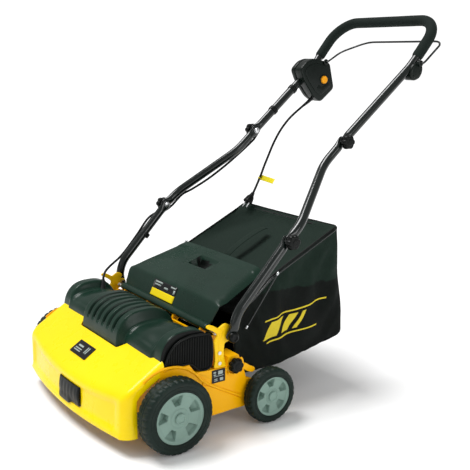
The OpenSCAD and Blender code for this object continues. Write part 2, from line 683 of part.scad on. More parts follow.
chassis();
front_hood();
hood_latch();
motor_cover();
end_vents();
foot_brackets();
flap_rod();
rotor_bearings();
axles();
motor_housing();
belt_guard();
drive_belt();
labels();
casing_screws();
cable_gland();
rotor_shaft();
rotor_tines();
rotor_pulley();
motor_shaft();
motor_pulley();
motor_fan();
front_left_tyre();
front_left_hub();
front_left_cap();
front_right_tyre();
front_right_hub();
front_right_cap();
rear_left_tyre();
rear_left_hub();
rear_left_cap();
rear_right_tyre();
rear_right_hub();
rear_right_cap();
rear_flap();
flap_label();
grass_bag();
bag_frame();
bag_strap();
lower_tubes();
foot_caps();
middle_tubes();
grip_tube();
foam_grip();
switch_box_outer();
switch_box_inner();
bail_bracket();
cable_clips();
left_knee_knob();
right_knee_knob();
left_elbow_knob();
right_elbow_knob();
depth_knob();
bail();
lock_button();
cable_lower();
cable_middle();
cable_upper();
mains_lead();
mains_plug();
lead_tag();
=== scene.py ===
import math

import bmesh
import bpy
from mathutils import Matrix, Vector, noise


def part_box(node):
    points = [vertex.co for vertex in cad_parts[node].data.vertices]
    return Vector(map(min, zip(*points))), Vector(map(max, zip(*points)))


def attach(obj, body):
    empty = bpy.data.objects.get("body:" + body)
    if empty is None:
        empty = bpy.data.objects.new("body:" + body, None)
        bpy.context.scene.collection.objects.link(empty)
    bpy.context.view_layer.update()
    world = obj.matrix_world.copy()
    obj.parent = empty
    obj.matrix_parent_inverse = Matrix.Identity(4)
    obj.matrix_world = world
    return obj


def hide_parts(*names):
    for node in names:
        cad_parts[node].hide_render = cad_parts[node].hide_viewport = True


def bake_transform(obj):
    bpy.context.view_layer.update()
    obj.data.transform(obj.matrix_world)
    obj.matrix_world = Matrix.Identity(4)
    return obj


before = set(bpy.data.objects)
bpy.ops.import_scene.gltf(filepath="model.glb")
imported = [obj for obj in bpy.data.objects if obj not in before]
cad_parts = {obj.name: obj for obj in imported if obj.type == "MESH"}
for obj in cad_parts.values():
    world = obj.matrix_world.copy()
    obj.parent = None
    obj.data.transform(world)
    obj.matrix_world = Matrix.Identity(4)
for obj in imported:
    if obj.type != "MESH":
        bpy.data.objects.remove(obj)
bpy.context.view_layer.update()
scene = bpy.context.scene
SIDES = (("left", 1), ("right", -1))
V = Vector

low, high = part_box("front_left_tyre")
AXLE = (low[1] + high[1]) / 2


def at(x, y, z):
    """Millimetres, with y measured from the front axle, to metres in the row frame."""
    return Vector((x / 1000, AXLE + y / 1000, z / 1000))


# ---------------------------------------------------------------- camera

camera = bpy.data.objects.new("camera", bpy.data.cameras.new("camera"))
scene.collection.objects.link(camera)
camera.location = at(1807.29, -867.78, 900)
camera.rotation_euler = (math.radians(77.30), 0, math.radians(55.29))
camera.data.lens = 62.24
camera.data.sensor_width = 36
camera.data.clip_start = 0.05
scene.camera = camera


# ---------------------------------------------------------------- materials

class Nodes:
    """A material's node tree, with short calls for the nodes used here."""

    def __init__(self, name):
        self.mat = bpy.data.materials.new(name)
        self.mat.use_nodes = True
        self.tree = self.mat.node_tree
        self.shader = self.tree.nodes["Principled BSDF"]
        self.where = self.add("ShaderNodeTexCoord").outputs["Object"]

    def add(self, kind, **values):
        node = self.tree.nodes.new(kind)
        for key, value in values.items():
            if key in node.inputs:
                node.inputs[key].default_value = value
            else:
                setattr(node, key, value)
        return node

    def link(self, a, b):
        self.tree.links.new(a, b)

    def noise(self, scale, detail=4.0, rough=0.6, stretch=None):
        node = self.add("ShaderNodeTexNoise", Scale=scale, Detail=detail, Roughness=rough)
        if stretch:
            mapping = self.add("ShaderNodeMapping", Scale=stretch)
            self.link(self.where, mapping.inputs["Vector"])
            self.link(mapping.outputs[0], node.inputs["Vector"])
        else:
            self.link(self.where, node.inputs["Vector"])
        return node.outputs["Fac"]

    def span(self, value, a, b, c, d):
        node = self.add("ShaderNodeMapRange")
        self.link(value, node.inputs["Value"])
        for key, v in (("From Min", a), ("From Max", b), ("To Min", c), ("To Max", d)):
            node.inputs[key].default_value = v
        return node.outputs[0]

    def math(self, kind, a, b=None):
        node = self.add("ShaderNodeMath", operation=kind)
        for socket, v in zip(node.inputs, (a, b)):
            if v is None:
                continue
            if isinstance(v, (int, float)):
                socket.default_value = v
            else:
                self.link(v, socket)
        return node.outputs[0]

    def mix(self, fac, a, b):
        node = self.add("ShaderNodeMix", data_type="RGBA")
        if isinstance(fac, (int, float)):
            node.inputs[0].default_value = fac
        else:
            self.link(fac, node.inputs[0])
        for socket, v in ((node.inputs[6], a), (node.inputs[7], b)):
            if isinstance(v, (tuple, list)):
                socket.default_value = (*v[:3], 1)
            else:
                self.link(v, socket)
        return node.outputs[2]

    def bump(self, height, strength, distance, under=None):
        node = self.add("ShaderNodeBump", Strength=strength, Distance=distance)
        self.link(height, node.inputs["Height"])
        if under is not None:
            self.link(under, node.inputs["Normal"])
        return node.outputs[0]

    def finish(self, colour, rough, normal, **fixed):
        for socket, v in (("Base Color", colour), ("Roughness", rough), ("Normal", normal)):
            if v is None:
                continue
            if isinstance(v, (tuple, list)):
                self.shader.inputs[socket].default_value = (*v[:3], 1)
            elif isinstance(v, (int, float)):
                self.shader.inputs[socket].default_value = v
            else:
                self.link(v, self.shader.inputs[socket])
        for key, v in fixed.items():
            self.shader.inputs[key.replace("_", " ")].default_value = v
        return self.mat


def scaled(c, k):
    return tuple(min(1.0, v * k) for v in c)


def moulded(name, colour, rough=0.32, grain=900, depth=0.00012, spread=0.12, coat=0.0, scuff=0.35):
    """Moulded plastic: a fine grain, slow colour drift, faint scuffs that are lighter and rougher."""
    n = Nodes(name)
    drift = n.span(n.noise(5.5, 3), 0.3, 0.7, 0, 1)
    base = n.mix(drift, scaled(colour, 1 - spread), scaled(colour, 1 + spread))
    scratch = n.span(n.noise(60, 6, 0.7, stretch=(1, 1, 5)), 0.64, 0.76, 0, scuff)
    grey = tuple(0.8 * v + 0.04 for v in colour)
    base = n.mix(scratch, base, grey)
    dust = n.span(n.noise(14, 5), 0.4, 0.75, rough - 0.06, rough + 0.14)
    r = n.math("ADD", dust, n.math("MULTIPLY", scratch, 0.25))
    fine = n.bump(n.noise(grain, 2), 0.35, depth)
    return n.finish(base, r, n.bump(n.noise(9, 2), 0.15, 0.002, fine), Coat_Weight=coat, Coat_Roughness=0.12,
                    Specular_IOR_Level=0.16)


def metal(name, colour, rough=0.3, brushed=(1, 1, 1), wear=0.2, metallic=1.0, rust=0.0):
    n = Nodes(name)
    lines = n.noise(220, 5, 0.7, stretch=brushed)
    base = n.mix(n.span(lines, 0.3, 0.7, 0, 1), scaled(colour, 0.8), scaled(colour, 1.12))
    spots = n.span(n.noise(38, 6, 0.7), 0.6, 0.75, 0, wear)
    base = n.mix(spots, base, scaled(colour, 0.45) if not rust else (0.16, 0.07, 0.03))
    r = n.math("ADD", n.span(lines, 0.3, 0.7, rough - 0.07, rough + 0.09), n.math("MULTIPLY", spots, 0.8))
    return n.finish(base, r, n.bump(lines, 0.2, 0.0002), Metallic=metallic)


def painted(name, colour, rough=0.16):
    """Gloss powder coat: orange peel, a little dust, small chips that show grey."""
    n = Nodes(name)
    drift = n.span(n.noise(8, 3), 0.3, 0.7, 0, 1)
    base = n.mix(drift, scaled(colour, 0.8), scaled(colour, 1.25))
    chips = n.span(n.noise(95, 8, 0.8), 0.73, 0.76, 0, 0.5)
    base = n.mix(chips, base, (0.12, 0.125, 0.125))
    r = n.span(n.noise(25, 5), 0.35, 0.75, rough, rough + 0.16)
    return n.finish(base, r, n.bump(n.noise(420, 2), 0.25, 0.00015), Coat_Weight=0.35, Coat_Roughness=0.08,
                    Specular_IOR_Level=0.3)


def rubber(name, colour, rough=0.62, grain=700, depth=0.00025, dust=0.25):
    n = Nodes(name)
    drift = n.span(n.noise(20, 5), 0.3, 0.72, 0, 1)
    base = n.mix(drift, scaled(colour, 0.7), scaled(colour, 1.35))
    pale = n.span(n.noise(75, 6, 0.7), 0.52, 0.78, 0, dust)
    base = n.mix(pale, base, tuple(v * 1.6 + 0.02 for v in colour))
    r = n.span(n.noise(30, 4), 0.3, 0.7, rough - 0.1, rough + 0.15)
    return n.finish(base, r, n.bump(n.noise(grain, 3), 0.5, depth), Specular_IOR_Level=0.22)


def foam_sleeve(name, colour):
    n = Nodes(name)
    cells = n.add("ShaderNodeTexVoronoi", Scale=900.0)
    n.link(n.where, cells.inputs["Vector"])
    base = n.mix(n.span(cells.outputs["Distance"], 0, 0.6, 0, 1), scaled(colour, 0.55), scaled(colour, 1.3))
    base = n.mix(n.span(n.noise(30, 4), 0.45, 0.75, 0, 0.35), base, scaled(colour, 1.9))
    return n.finish(base, 0.85, n.bump(cells.outputs["Distance"], 0.7, 0.0004), Specular_IOR_Level=0.2)


def woven(name, upper, lower, border=0.298, printed=None):
    """Bag cloth: open mesh above border, dense weave below, and plain printed bands on the sides."""
    n = Nodes(name)
    split = n.add("ShaderNodeSeparateXYZ")
    n.link(n.where, split.inputs[0])
    normal = n.add("ShaderNodeSeparateXYZ")
    n.link(n.add("ShaderNodeNewGeometry").outputs["Normal"], normal.inputs[0])
    side = n.span(n.math("ABSOLUTE", normal.outputs[0]), 0.55, 0.75, 0, 1)

    def threads(axis, per_m):
        return n.math("SINE", n.math("MULTIPLY", split.outputs[axis], math.tau * per_m))

    def weave(per_m):
        across = n.add("ShaderNodeMix", data_type="FLOAT")
        n.link(side, across.inputs[0])
        n.link(threads(0, per_m), across.inputs[2])
        n.link(threads(2, per_m), across.inputs[3])
        return n.math("MAXIMUM", across.outputs[0], threads(1, per_m))

    wobble = n.span(n.noise(30, 3), 0.3, 0.7, -0.004, 0.004)
    height = n.math("ADD", split.outputs[2], wobble)
    top = n.span(height, border - 0.002, border + 0.002, 0, 1)
    open_mesh = n.span(weave(330), 0.1, 0.9, 0, 1)
    dense = n.span(weave(620), -0.4, 1, 0, 1)
    c_top = n.mix(open_mesh, scaled(upper, 0.35), scaled(upper, 1.25))
    c_low = n.mix(dense, scaled(lower, 0.45), scaled(lower, 1.3))
    base = n.mix(top, c_low, c_top)
    fade = n.span(n.noise(7, 4), 0.35, 0.7, 0, 0.3)
    base = n.mix(fade, base, scaled(upper, 0.9))
    lint = n.span(n.noise(260, 5, 0.8), 0.66, 0.74, 0, 0.25)
    base = n.mix(lint, base, (0.05, 0.06, 0.052))
    if printed:
        y, z = split.outputs[1], split.outputs[2]
        found = None
        for y0, y1, z0, slope, half, lean in printed:
            line = n.math("SUBTRACT", z, n.math("ADD",
                    n.math("MULTIPLY", n.math("SUBTRACT", y, y0), slope), z0))
            thick = n.math("LESS_THAN", n.math("ABSOLUTE", line), half)
            leaning = n.math("SUBTRACT", y, n.math("MULTIPLY", line, lean))
            inside = n.math("MULTIPLY", n.math("GREATER_THAN", leaning, y0), n.math("LESS_THAN", leaning, y1))
            band = n.math("MULTIPLY", thick, inside)
            found = band if found is None else n.math("MAXIMUM", found, band)
        worn = n.span(n.noise(180, 5, 0.8), 0.55, 0.7, 1, 0.75)
        mask = n.math("MULTIPLY", n.math("MULTIPLY", found, side), worn)
        base = n.mix(mask, base, (0.78, 0.62, 0.04))
    bump = n.bump(n.mix(top, dense, open_mesh), 0.6, 0.0006)
    soft = n.bump(n.noise(16, 4), 0.35, 0.006, bump)
    return n.finish(base, 0.78, soft, Specular_IOR_Level=0.18)


YELLOW = (1.0, 0.72, 0.0)
AMBER = (1.0, 0.47, 0.0)
GREEN = (0.0075, 0.026, 0.0165)
M = {
    "hood": moulded("hood_plastic", YELLOW, 0.3, spread=0.03, coat=0.1, scuff=0.08),
    "chassis": moulded("chassis_plastic", AMBER, 0.36, spread=0.05, coat=0.05, scuff=0.1),
    "bracket": moulded("bracket_plastic", (1.0, 0.60, 0.004), 0.34, spread=0.05, coat=0.1, scuff=0.1),
    "green": moulded("green_plastic", GREEN, 0.32, spread=0.2, coat=0.05, scuff=0.05),
    "dark": moulded("dark_plastic", (0.004, 0.008, 0.006), 0.34, spread=0.25, coat=0.08, scuff=0.06),
    "black": moulded("black_plastic", (0.0025, 0.0035, 0.003), 0.36, spread=0.3, scuff=0.05),
    "hub": moulded("hub_plastic", (0.20, 0.30, 0.255), 0.38, spread=0.12, scuff=0.2),
    "orange": moulded("orange_plastic", (1.0, 0.40, 0.012), 0.3, spread=0.06, scuff=0.1),
    "tag": moulded("tag_card", (0.95, 0.80, 0.02), 0.45, spread=0.05, scuff=0.1),
    "tyre": rubber("tyre_rubber", (0.004, 0.013, 0.009), 0.5, dust=0.12),
    "cable": rubber("cable_rubber", (0.004, 0.005, 0.0045), 0.45, grain=1500, depth=0.0001, dust=0.1),
    "belt": rubber("belt_rubber", (0.012, 0.012, 0.012), 0.7, grain=300, depth=0.0005),
    "foam": foam_sleeve("foam_sleeve", (0.006, 0.011, 0.009)),
    "tube": painted("tube_coat", (0.003, 0.006, 0.005)),
    "zinc": metal("zinc_steel", (0.62, 0.63, 0.64), 0.28, brushed=(0.2, 1, 1)),
    "tine": metal("tine_steel", (0.45, 0.46, 0.47), 0.38, rust=1.0, wear=0.35),
    "cast": metal("cast_metal", (0.33, 0.34, 0.35), 0.5, wear=0.3),
    "label": moulded("label_film", (0.004, 0.004, 0.005), 0.25, grain=2500, depth=0.00003, spread=0.1,
                     coat=0.2),
    "pale": moulded("label_marks", (0.36, 0.42, 0.39), 0.35, grain=2500, depth=0.00003, spread=0.1),
    "print": moulded("label_yellow", (0.95, 0.74, 0.004), 0.3, grain=2500, depth=0.00003, spread=0.05),
    "bag": woven("bag_cloth", (0.008, 0.021, 0.014), (0.0018, 0.0030, 0.0024), printed=[
        (AXLE + 0.330, AXLE + 0.540, 0.222, 0.133, 0.0020, 0.35),
        (AXLE + 0.336, AXLE + 0.500, 0.162, 0.133, 0.0020, 0.35),
        (AXLE + 0.338, AXLE + 0.384, 0.193, 0.133, 0.021, 0.7),
        (AXLE + 0.402, AXLE + 0.426, 0.201, 0.133, 0.021, 0.7),
        (AXLE + 0.440, AXLE + 0.452, 0.206, 0.133, 0.021, 0.7),
    ]),
}


# ---------------------------------------------------------------- mesh tools

def angle_sharp(mesh, degrees):
    for polygon in mesh.polygons:
        polygon.use_smooth = True
    mesh.set_sharp_from_angle(angle=math.radians(degrees))


def mesh_object(name, verts, faces, material, sharp=38, weld=True):
    mesh = bpy.data.meshes.new(name)
    mesh.from_pydata([tuple(v) for v in verts], [], [tuple(f) for f in faces])
    bm = bmesh.new()
    bm.from_mesh(mesh)
    if weld:
        bmesh.ops.remove_doubles(bm, verts=bm.verts, dist=1e-6)
    bmesh.ops.dissolve_degenerate(bm, dist=1e-7, edges=bm.edges)
    bmesh.ops.recalc_face_normals(bm, faces=bm.faces)
    bm.to_mesh(mesh)
    bm.free()
    angle_sharp(mesh, sharp)
    mesh.materials.append(M[material])
    obj = bpy.data.objects.new(name, mesh)
    scene.collection.objects.link(obj)
    return obj


def apply_modifiers(obj):
    """Puts the result of obj's modifiers into its mesh."""
    bpy.context.view_layer.update()
    done = bpy.data.meshes.new_from_object(obj.evaluated_get(bpy.context.evaluated_depsgraph_get()))
    obj.modifiers.clear()
    obj.data = done
    return obj


def modify(obj, kind, **values):
    modifier = obj.modifiers.new(kind.lower(), kind)
    for key, value in values.items():
        setattr(modifier, key, value)
    return modifier


def settle(obj, body, nodes=()):
    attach(obj, body)
    if nodes:
        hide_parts(*nodes)
    return obj


def grid_faces(rows, columns, close_rows=False, close_columns=False, start=0):
    faces = []
    for i in range(rows if close_rows else rows - 1):
        for j in range(columns if close_columns else columns - 1):
            a, b = i * columns, ((i + 1) % rows) * columns
            k = (j + 1) % columns
            faces.append((start + a + j, start + a + k, start + b + k, start + b + j))
    return faces


def sheet_grid(rows):
    """Vertices and faces of a list of rows of points."""
    verts = [p for row in rows for p in row]
    return verts, grid_faces(len(rows), len(rows[0]))


def frames(points):
    """Tangent, side and up at each point of a path, without twist."""
    out = []
    side = None
    for i, p in enumerate(points):
        t = (points[min(i + 1, len(points) - 1)] - points[max(i - 1, 0)]).normalized()
        if side is None:
            side = Vector((1, 0, 0)) if abs(t.x) < 0.8 else Vector((0, 1, 0))
        side = (side - t * side.dot(t)).normalized()
        out.append((t, side, t.cross(side)))
    return out


def sweep(points, radius, sides=20, caps=True):
    """A bar along points. radius is a number or a (side, up) pair, or a list of them for the points."""
    verts = []
    for i, (p, (_, s, u)) in enumerate(zip(points, frames(points))):
        r = radius[i] if isinstance(radius, list) else radius
        a, b = r if isinstance(r, tuple) else (r, r)
        for k in range(sides):
            w = math.tau * k / sides
            verts.append(p + s * a * math.cos(w) + u * b * math.sin(w))
    faces = grid_faces(len(points), sides, close_columns=True)
    if caps:
        faces.append(list(range(sides))[::-1])
        faces.append([(len(points) - 1) * sides + k for k in range(sides)])
    return verts, faces


def smooth_path(points, per=8):
    """Catmull-Rom through points."""
    p = [2 * points[0] - points[1], *points, 2 * points[-1] - points[-2]]
    out = []
    for i in range(1, len(p) - 2):
        a, b, c, d = p[i - 1:i + 3]
        for k in range(per):
            t = k / per
            out.append(0.5 * (2 * b + (c - a) * t + (2 * a - 5 * b + 4 * c - d) * t * t
                              + (3 * b - a - 3 * c + d) * t ** 3))
    return out + [points[-1]]


def bend(a, b, c, reach, steps=8):
    p, q = b + (a - b).normalized() * reach, b + (c - b).normalized() * reach
    return [(1 - u) ** 2 * p + 2 * u * (1 - u) * b + u * u * q for u in (i / steps for i in range(steps + 1))]


def lathe_x(profile, y, z, steps=96, mirror=1):
    """Turns (x, r) points round the X axis line through (y, z), in millimetres."""
    verts = []
    for x, r in profile:
        for k in range(steps):
            w = math.tau * k / steps
            verts.append(at(mirror * x, y + r * math.cos(w), z + r * math.sin(w)))
    return verts, grid_faces(len(profile), steps, close_columns=True)


def join(parts):
    verts, faces = [], []
    for v, f in parts:
        n = len(verts)
        verts += list(v)
        faces += [tuple(i + n for i in face) for face in f]
    return verts, faces


def rounded(outline, reach=6, steps=4):
    """A closed (y, z) outline with its corners rounded."""
    out = []
    n = len(outline)
    for i in range(n):
        a, b, c = (Vector(outline[(i + k) % n]) for k in (-1, 0, 1))
        d = min(reach, 0.45 * (a - b).length, 0.45 * (c - b).length)
        out += [tuple(p) for p in bend(a, b, c, d, steps)]
    return out


def slab_x(outline, x0, x1, bevel=1.5, steps=3):
    """A plate standing in a (y, z) outline between x0 and x1, with rounded edges."""
    area = sum(a[0] * b[1] - b[0] * a[1] for a, b in zip(outline, outline[1:] + outline[:1]))
    if area < 0:
        outline = outline[::-1]
    n = len(outline)
    inward = []
    for i in range(n):
        a, b, c = (Vector(outline[(i + k) % n]) for k in (-1, 0, 1))
        e, f = (b - a).normalized(), (c - b).normalized()
        m = Vector((-(e.y + f.y), e.x + f.x))
        m = m.normalized() if m.length > 1e-6 else Vector((-e.y, e.x))
        inward.append(m)
    x0, x1 = min(x0, x1), max(x0, x1)
    rings = []
    for k in range(steps + 1):
        w = math.pi / 2 * k / steps
        rings.append((x0 + bevel * (1 - math.cos(w)), bevel * (1 - math.sin(w))))
    rings += [(x1 - (x - x0), d) for x, d in rings[::-1]]
    verts = []
    for x, d in rings:
        for (y, z), m in zip(outline, inward):
            verts.append(at(x, y + m.x * d, z + m.y * d))
    faces = grid_faces(len(rings), n, close_columns=True)
    faces.append(list(range(n))[::-1])
    faces.append([(len(rings) - 1) * n + k for k in range(n)])
    return verts, faces


def smoothstep(a, b, x):
    t = max(0.0, min(1.0, (x - a) / (b - a)))
    return t * t * (3 - 2 * t)


def lerp(a, b, t):
    return a + (b - a) * t


def table(points, x):
    """Straight-line lookup in sorted (x, value) points."""
    if x <= points[0][0]:
        return points[0][1]
    for (x0, v0), (x1, v1) in zip(points, points[1:]):
        if x <= x1:
            return lerp(v0, v1, (x - x0) / (x1 - x0))
    return points[-1][1]


def screw(x, y, z, r, h, sign=1):
    """A domed screw head on a face looking along X, with a round recess in its top."""
    profile = [(x, 0.01), (x, r), (x + sign * h * 0.45, r), (x + sign * h * 0.85, r * 0.78),
               (x + sign * h, r * 0.4),
               (x + sign * h, r * 0.12), (x + sign * h * 0.4, r * 0.1), (x + sign * h * 0.4, 0.01)]
    return lathe_x(profile, y, z, 24)


# ---------------------------------------------------------------- cords

LEAD = [at(*p) for p in (
    (-184, 806, 758), (-183.5, 788, 746), (-183.2, 769.5, 735), (-183, 751, 723.5), (-182.7, 732.5, 711.5),
    (-182.4, 715, 698.5), (-182, 699, 684), (-182, 684, 668), (-182, 670.5, 650.5), (-182, 658.5, 632.5),
    (-182, 647.5, 613.5), (-182, 637.5, 594), (-182, 627.5, 574.5), (-181.5, 617.5, 555.5), (-179.5, 607,
            536),
    (-177, 595.5, 517.5), (-173.5, 583, 499.5), (-170, 570, 482))]
lead_line = smooth_path(LEAD, 4)
lead = mesh_object("mains_lead_cable", *sweep(lead_line, 0.0035, 16), "cable")
settle(lead, "grip_loop", ["mains_lead"])

# strain relief at the box: a tapered, ribbed sleeve
taper = smooth_path(LEAD[:4], 12)[:24]
taper_r = [0.0062 - 0.0022 * i / 23 - (0.0007 if i % 3 == 2 else 0) for i in range(len(taper))]
relief = mesh_object("lead_strain_relief", *sweep(taper, taper_r, 20), "cable", 50)
settle(relief, "grip_loop", ())

# the plug: a waisted body with grip ribs and two pins
PLUG = at(-170, 570, 482)
WAY = Vector((0, -22, -27)).normalized()
CROSS = Vector((1, 0, 0))


def plug_ring(s, w, d, sides=40, power=2.6):
    """A superellipse ring s mm along the plug, w mm half wide and d mm half deep."""
    up = WAY.cross(CROSS)
    out = []
    for k in range(sides):
        t = math.tau * k / sides
        c, e = math.cos(t), math.sin(t)
        x = math.copysign(abs(c) ** (2 / power), c) * w
        y = math.copysign(abs(e) ** (2 / power), e) * d
        out.append(PLUG + WAY * (s / 1000) + CROSS * (x / 1000) + up * (y / 1000))
    return out


plug_rings = [(0, 4.2, 4.2), (1, 4.8, 4.8), (4, 5.4, 5.2), (8, 6.4, 5.9), (12, 8.2, 6.8), (15, 10.6, 8.6),
              (17, 11.6, 9.6),
              (18, 10.9, 9.0), (19, 12.0, 10.0), (20.5, 12.6, 10.4), (21.5, 11.9, 9.8), (22.5, 12.9, 10.8),
              (24, 13.4, 11.2), (25, 12.7, 10.5), (26, 13.7, 11.5), (29, 14.3, 12.2), (33, 14.7, 12.8),
              (35, 14.6, 12.7), (36, 13.6, 11.8)]
rows = [plug_ring(*r) for r in plug_rings]
rows.append(plug_ring(36, 4, 3.5))
pv = [p for r in rows for p in r]
pf = grid_faces(len(rows), 40, close_columns=True)
pf += [list(range(40))[::-1], [(len(rows) - 1) * 40 + k for k in range(40)]]
plug = mesh_object("mains_plug_body", pv, pf, "black", 40)
pins = []
for s in (-1, 1):
    root = PLUG + CROSS * (s * 0.0095) + WAY * 0.0358
    line = [root + WAY * (0.0172 * t) for t in (0, 0.35, 0.85, 0.95, 1)]
    pins.append(sweep(line, [0.0024] * 3 + [0.0021, 0.0012], 20))
plug_pins = mesh_object("mains_plug_pins", *join(pins), "zinc", 40)
settle(plug, "grip_loop", ["mains_plug"])
settle(plug_pins, "grip_loop", ())

# the yellow tag: a slightly curled card that hangs across the lead
TAG = at(-152, 605.6, 522.3)
TAG_ACROSS = Vector((math.cos(math.radians(4)), 0, -math.sin(math.radians(4))))
TAG_UP = Vector((0, 0.53, 0.848))
TAG_BACK = TAG_ACROSS.cross(TAG_UP)
rows = []
for i in range(21):
    v = i / 20
    row = []
    for j in range(7):
        u = j / 6 - 0.5
        curl = 1.6 * math.sin(2.6 * v) * (0.6 + u) - 1.0
        row.append(TAG + TAG_ACROSS * ((v - 0.5) * 0.075) + TAG_UP * (u * 0.0165) - TAG_BACK * (curl / 1000))
    rows.append(row)
tag = mesh_object("lead_tag_card", *sheet_grid(rows), "tag")
modify(tag, "SOLIDIFY", thickness=0.0006, offset=0)
apply_modifiers(tag)
settle(tag, "grip_loop", ["lead_tag"])
loop_at = at(-177.9, 599.1, 523)
ring_points = [loop_at + TAG_ACROSS * (0.0048 * math.cos(a)) + TAG_BACK * (0.0052 * math.sin(a))
               for a in (math.tau * k / 20 for k in range(20))]
tie = mesh_object("lead_tag_tie", *sweep(ring_points + ring_points[:1], 0.0009, 8, caps=False), "tag")
settle(tie, "grip_loop", ())


# ---------------------------------------------------------------- hood

def bow(x):
    return -140 + x * x / 2690


def slope_z(y):
    return 133 + (y + 138) * 79 / 129 if y > -138 else 133


CORNER = 27.0
HOOD_HALF, SHOULDER, HOOD_FOOT = 284, 15, 42


def hood_front(x):
    a = abs(x)
    edge = HOOD_HALF - CORNER
    if a <= edge:
        return bow(a)
    return bow(edge) + CORNER - math.sqrt(max(0.0, CORNER ** 2 - (a - edge) ** 2))


def shoulder(x):
    a = abs(x) - (HOOD_HALF - SHOULDER)
    return 0 if a <= 0 else SHOULDER - math.sqrt(max(0.0, SHOULDER ** 2 - a * a))


def hood_end(x):
    """Where the top of the hood meets the motor cover."""
    a = abs(x + 4)
    return lerp(-38, -15, smoothstep(100, 128, a)) + 6 * smoothstep(128, 272, a)


def hood_column(x):
    yf = hood_front(x)
    drop = shoulder(x)
    crown = 3.0 * (1 - (x / HOOD_HALF) ** 2)
    ye = hood_end(x)
    top_z = lambda y: slope_z(y) - drop + crown * smoothstep(-138, -60, y) - 1.5
    zc = slope_z(yf) - drop - 1.5
    panel = smoothstep(252, 240, abs(x))
    pts = []
    for i in range(17):
        z = lerp(HOOD_FOOT, zc - 16, i / 16)
        lip = 3.2 * math.exp(-((z - 47) / 5.5) ** 2) * smoothstep(HOOD_HALF, 262, abs(x))
        recess = 4.5 * panel * smoothstep(57, 65, z) * smoothstep(zc - 10, zc - 24, z)
        lean = 3.0 * (z - HOOD_FOOT) / 90 * smoothstep(HOOD_HALF, 250, abs(x))
        pts.append((yf + lean - 3 - lip + recess if abs(x) < 262 else yf - (3 - lean)
                    * smoothstep(HOOD_HALF, 262, abs(x)) - lip, z))
    a, b = Vector((pts[-1][0], zc - 16)), Vector((yf - 0.5, zc))
    c = Vector((yf + 19, top_z(yf + 19)))
    for i in range(1, 8):
        u = i / 8
        p = (1 - u) ** 2 * a + 2 * u * (1 - u) * b + u * u * c
        pts.append((p.x, p.y))
    for i in range(21):
        y = lerp(yf + 19, ye, i / 20)
        pts.append((y, top_z(y)))
    return pts


xs = [HOOD_HALF * math.sin(math.pi / 2 * k / 60) if abs(k) > 44 else HOOD_HALF
      * math.sin(math.pi / 2 * 44 / 60) * k / 44
      for k in range(-60, 61)]
rows = [[at(x, y, z) for y, z in hood_column(x)] for x in xs]
hood_parts = [sheet_grid(rows)]
# the narrow flange that turns down each side and follows the wheel arch
for s in (-1, 1):
    column = hood_column(HOOD_HALF)
    rows = []
    for y, z in column:
        rim_y, rim_z = y + 7, z - 9 * smoothstep(118, 150, z)
        rows.append([at(s * (HOOD_HALF - 0.4 * t * t), lerp(y, rim_y, t), lerp(z, rim_z, t))
                     for t in (0, 0.35, 0.7, 1)])
    hood_parts.append(sheet_grid(rows))
hood = mesh_object("hood_shell", *join(hood_parts), "hood", 50)
# the latch's opening
bm = bmesh.new()
bm.from_mesh(hood.data)
a, b = at(-12, -150, 60), at(92, -110, 108)
gone = [f for f in bm.faces if a.x < f.calc_center_median().x < b.x and f.calc_center_median().y < b.y
        and a.z < f.calc_center_median().z < b.z]
bmesh.ops.delete(bm, geom=gone, context="FACES")
bm.to_mesh(hood.data)
bm.free()
modify(hood, "SOLIDIFY", thickness=0.0034, offset=-1)
apply_modifiers(hood)
angle_sharp(hood.data, 42)
settle(hood, "machine", ["front_hood"])

# latch: a black handle with finger ribs, set in the opening
LATCH_X0, LATCH_X1, LATCH_Z0, LATCH_Z1 = -15, 95, 57, 112
body_rows = []
for i in range(15):
    z = lerp(LATCH_Z0, LATCH_Z1, i / 14)
    bulge = 5 * math.sin(math.pi * i / 14)
    hook = 6 * smoothstep(78, 60, z)
    row = []
    for j in range(25):
        x = lerp(LATCH_X0, LATCH_X1, j / 24)
        edge = 4 * (1 - min(1, min(x - LATCH_X0, LATCH_X1 - x) / 5)) ** 2
        rib = 1.2 * max(0, math.cos(j * math.pi / 2)) * smoothstep(64, 72, z) * smoothstep(109, 101, z)
        tongue = hook * smoothstep(56, 44, x)
        row.append(at(x, bow(x) - 1.5 - bulge * 0.8 - tongue * 0.7 - rib + edge,
                      z + 7 * smoothstep(44, 56, x) * (1 - i / 14)))
    body_rows.append(row)
latch = mesh_object("hood_latch_handle", *sheet_grid(body_rows), "black", 40)
modify(latch, "SOLIDIFY", thickness=0.012, offset=-1)
modify(latch, "BEVEL", width=0.0015, segments=3, limit_method="ANGLE")
apply_modifiers(latch)
angle_sharp(latch.data, 40)
settle(latch, "machine", ["hood_latch"])


# ---------------------------------------------------------------- motor cover

TUNNEL_L, TUNNEL_R = -104, 96
COVER_BACK, COVER_FOOT, COVER_HALF = 132, 193.5, 274


def cover_shape(x):
    """Front y and top z of the motor cover at x, and how far x is in the tunnel, with soft steps."""
    tunnel = smoothstep(TUNNEL_L - 9, TUNNEL_L + 5, x) * smoothstep(TUNNEL_R + 9, TUNNEL_R - 5, x)
    band = smoothstep(232, 243, abs(x))
    valley = 251 - 3 * math.cos(min(1, max(0, (abs(x) - 104) / 128)) * math.pi * 2)
    top = lerp(lerp(valley, 268.5, band), 276, tunnel)
    front = lerp(lerp(-19, -13.5, band), -35, tunnel)
    return front, top, tunnel


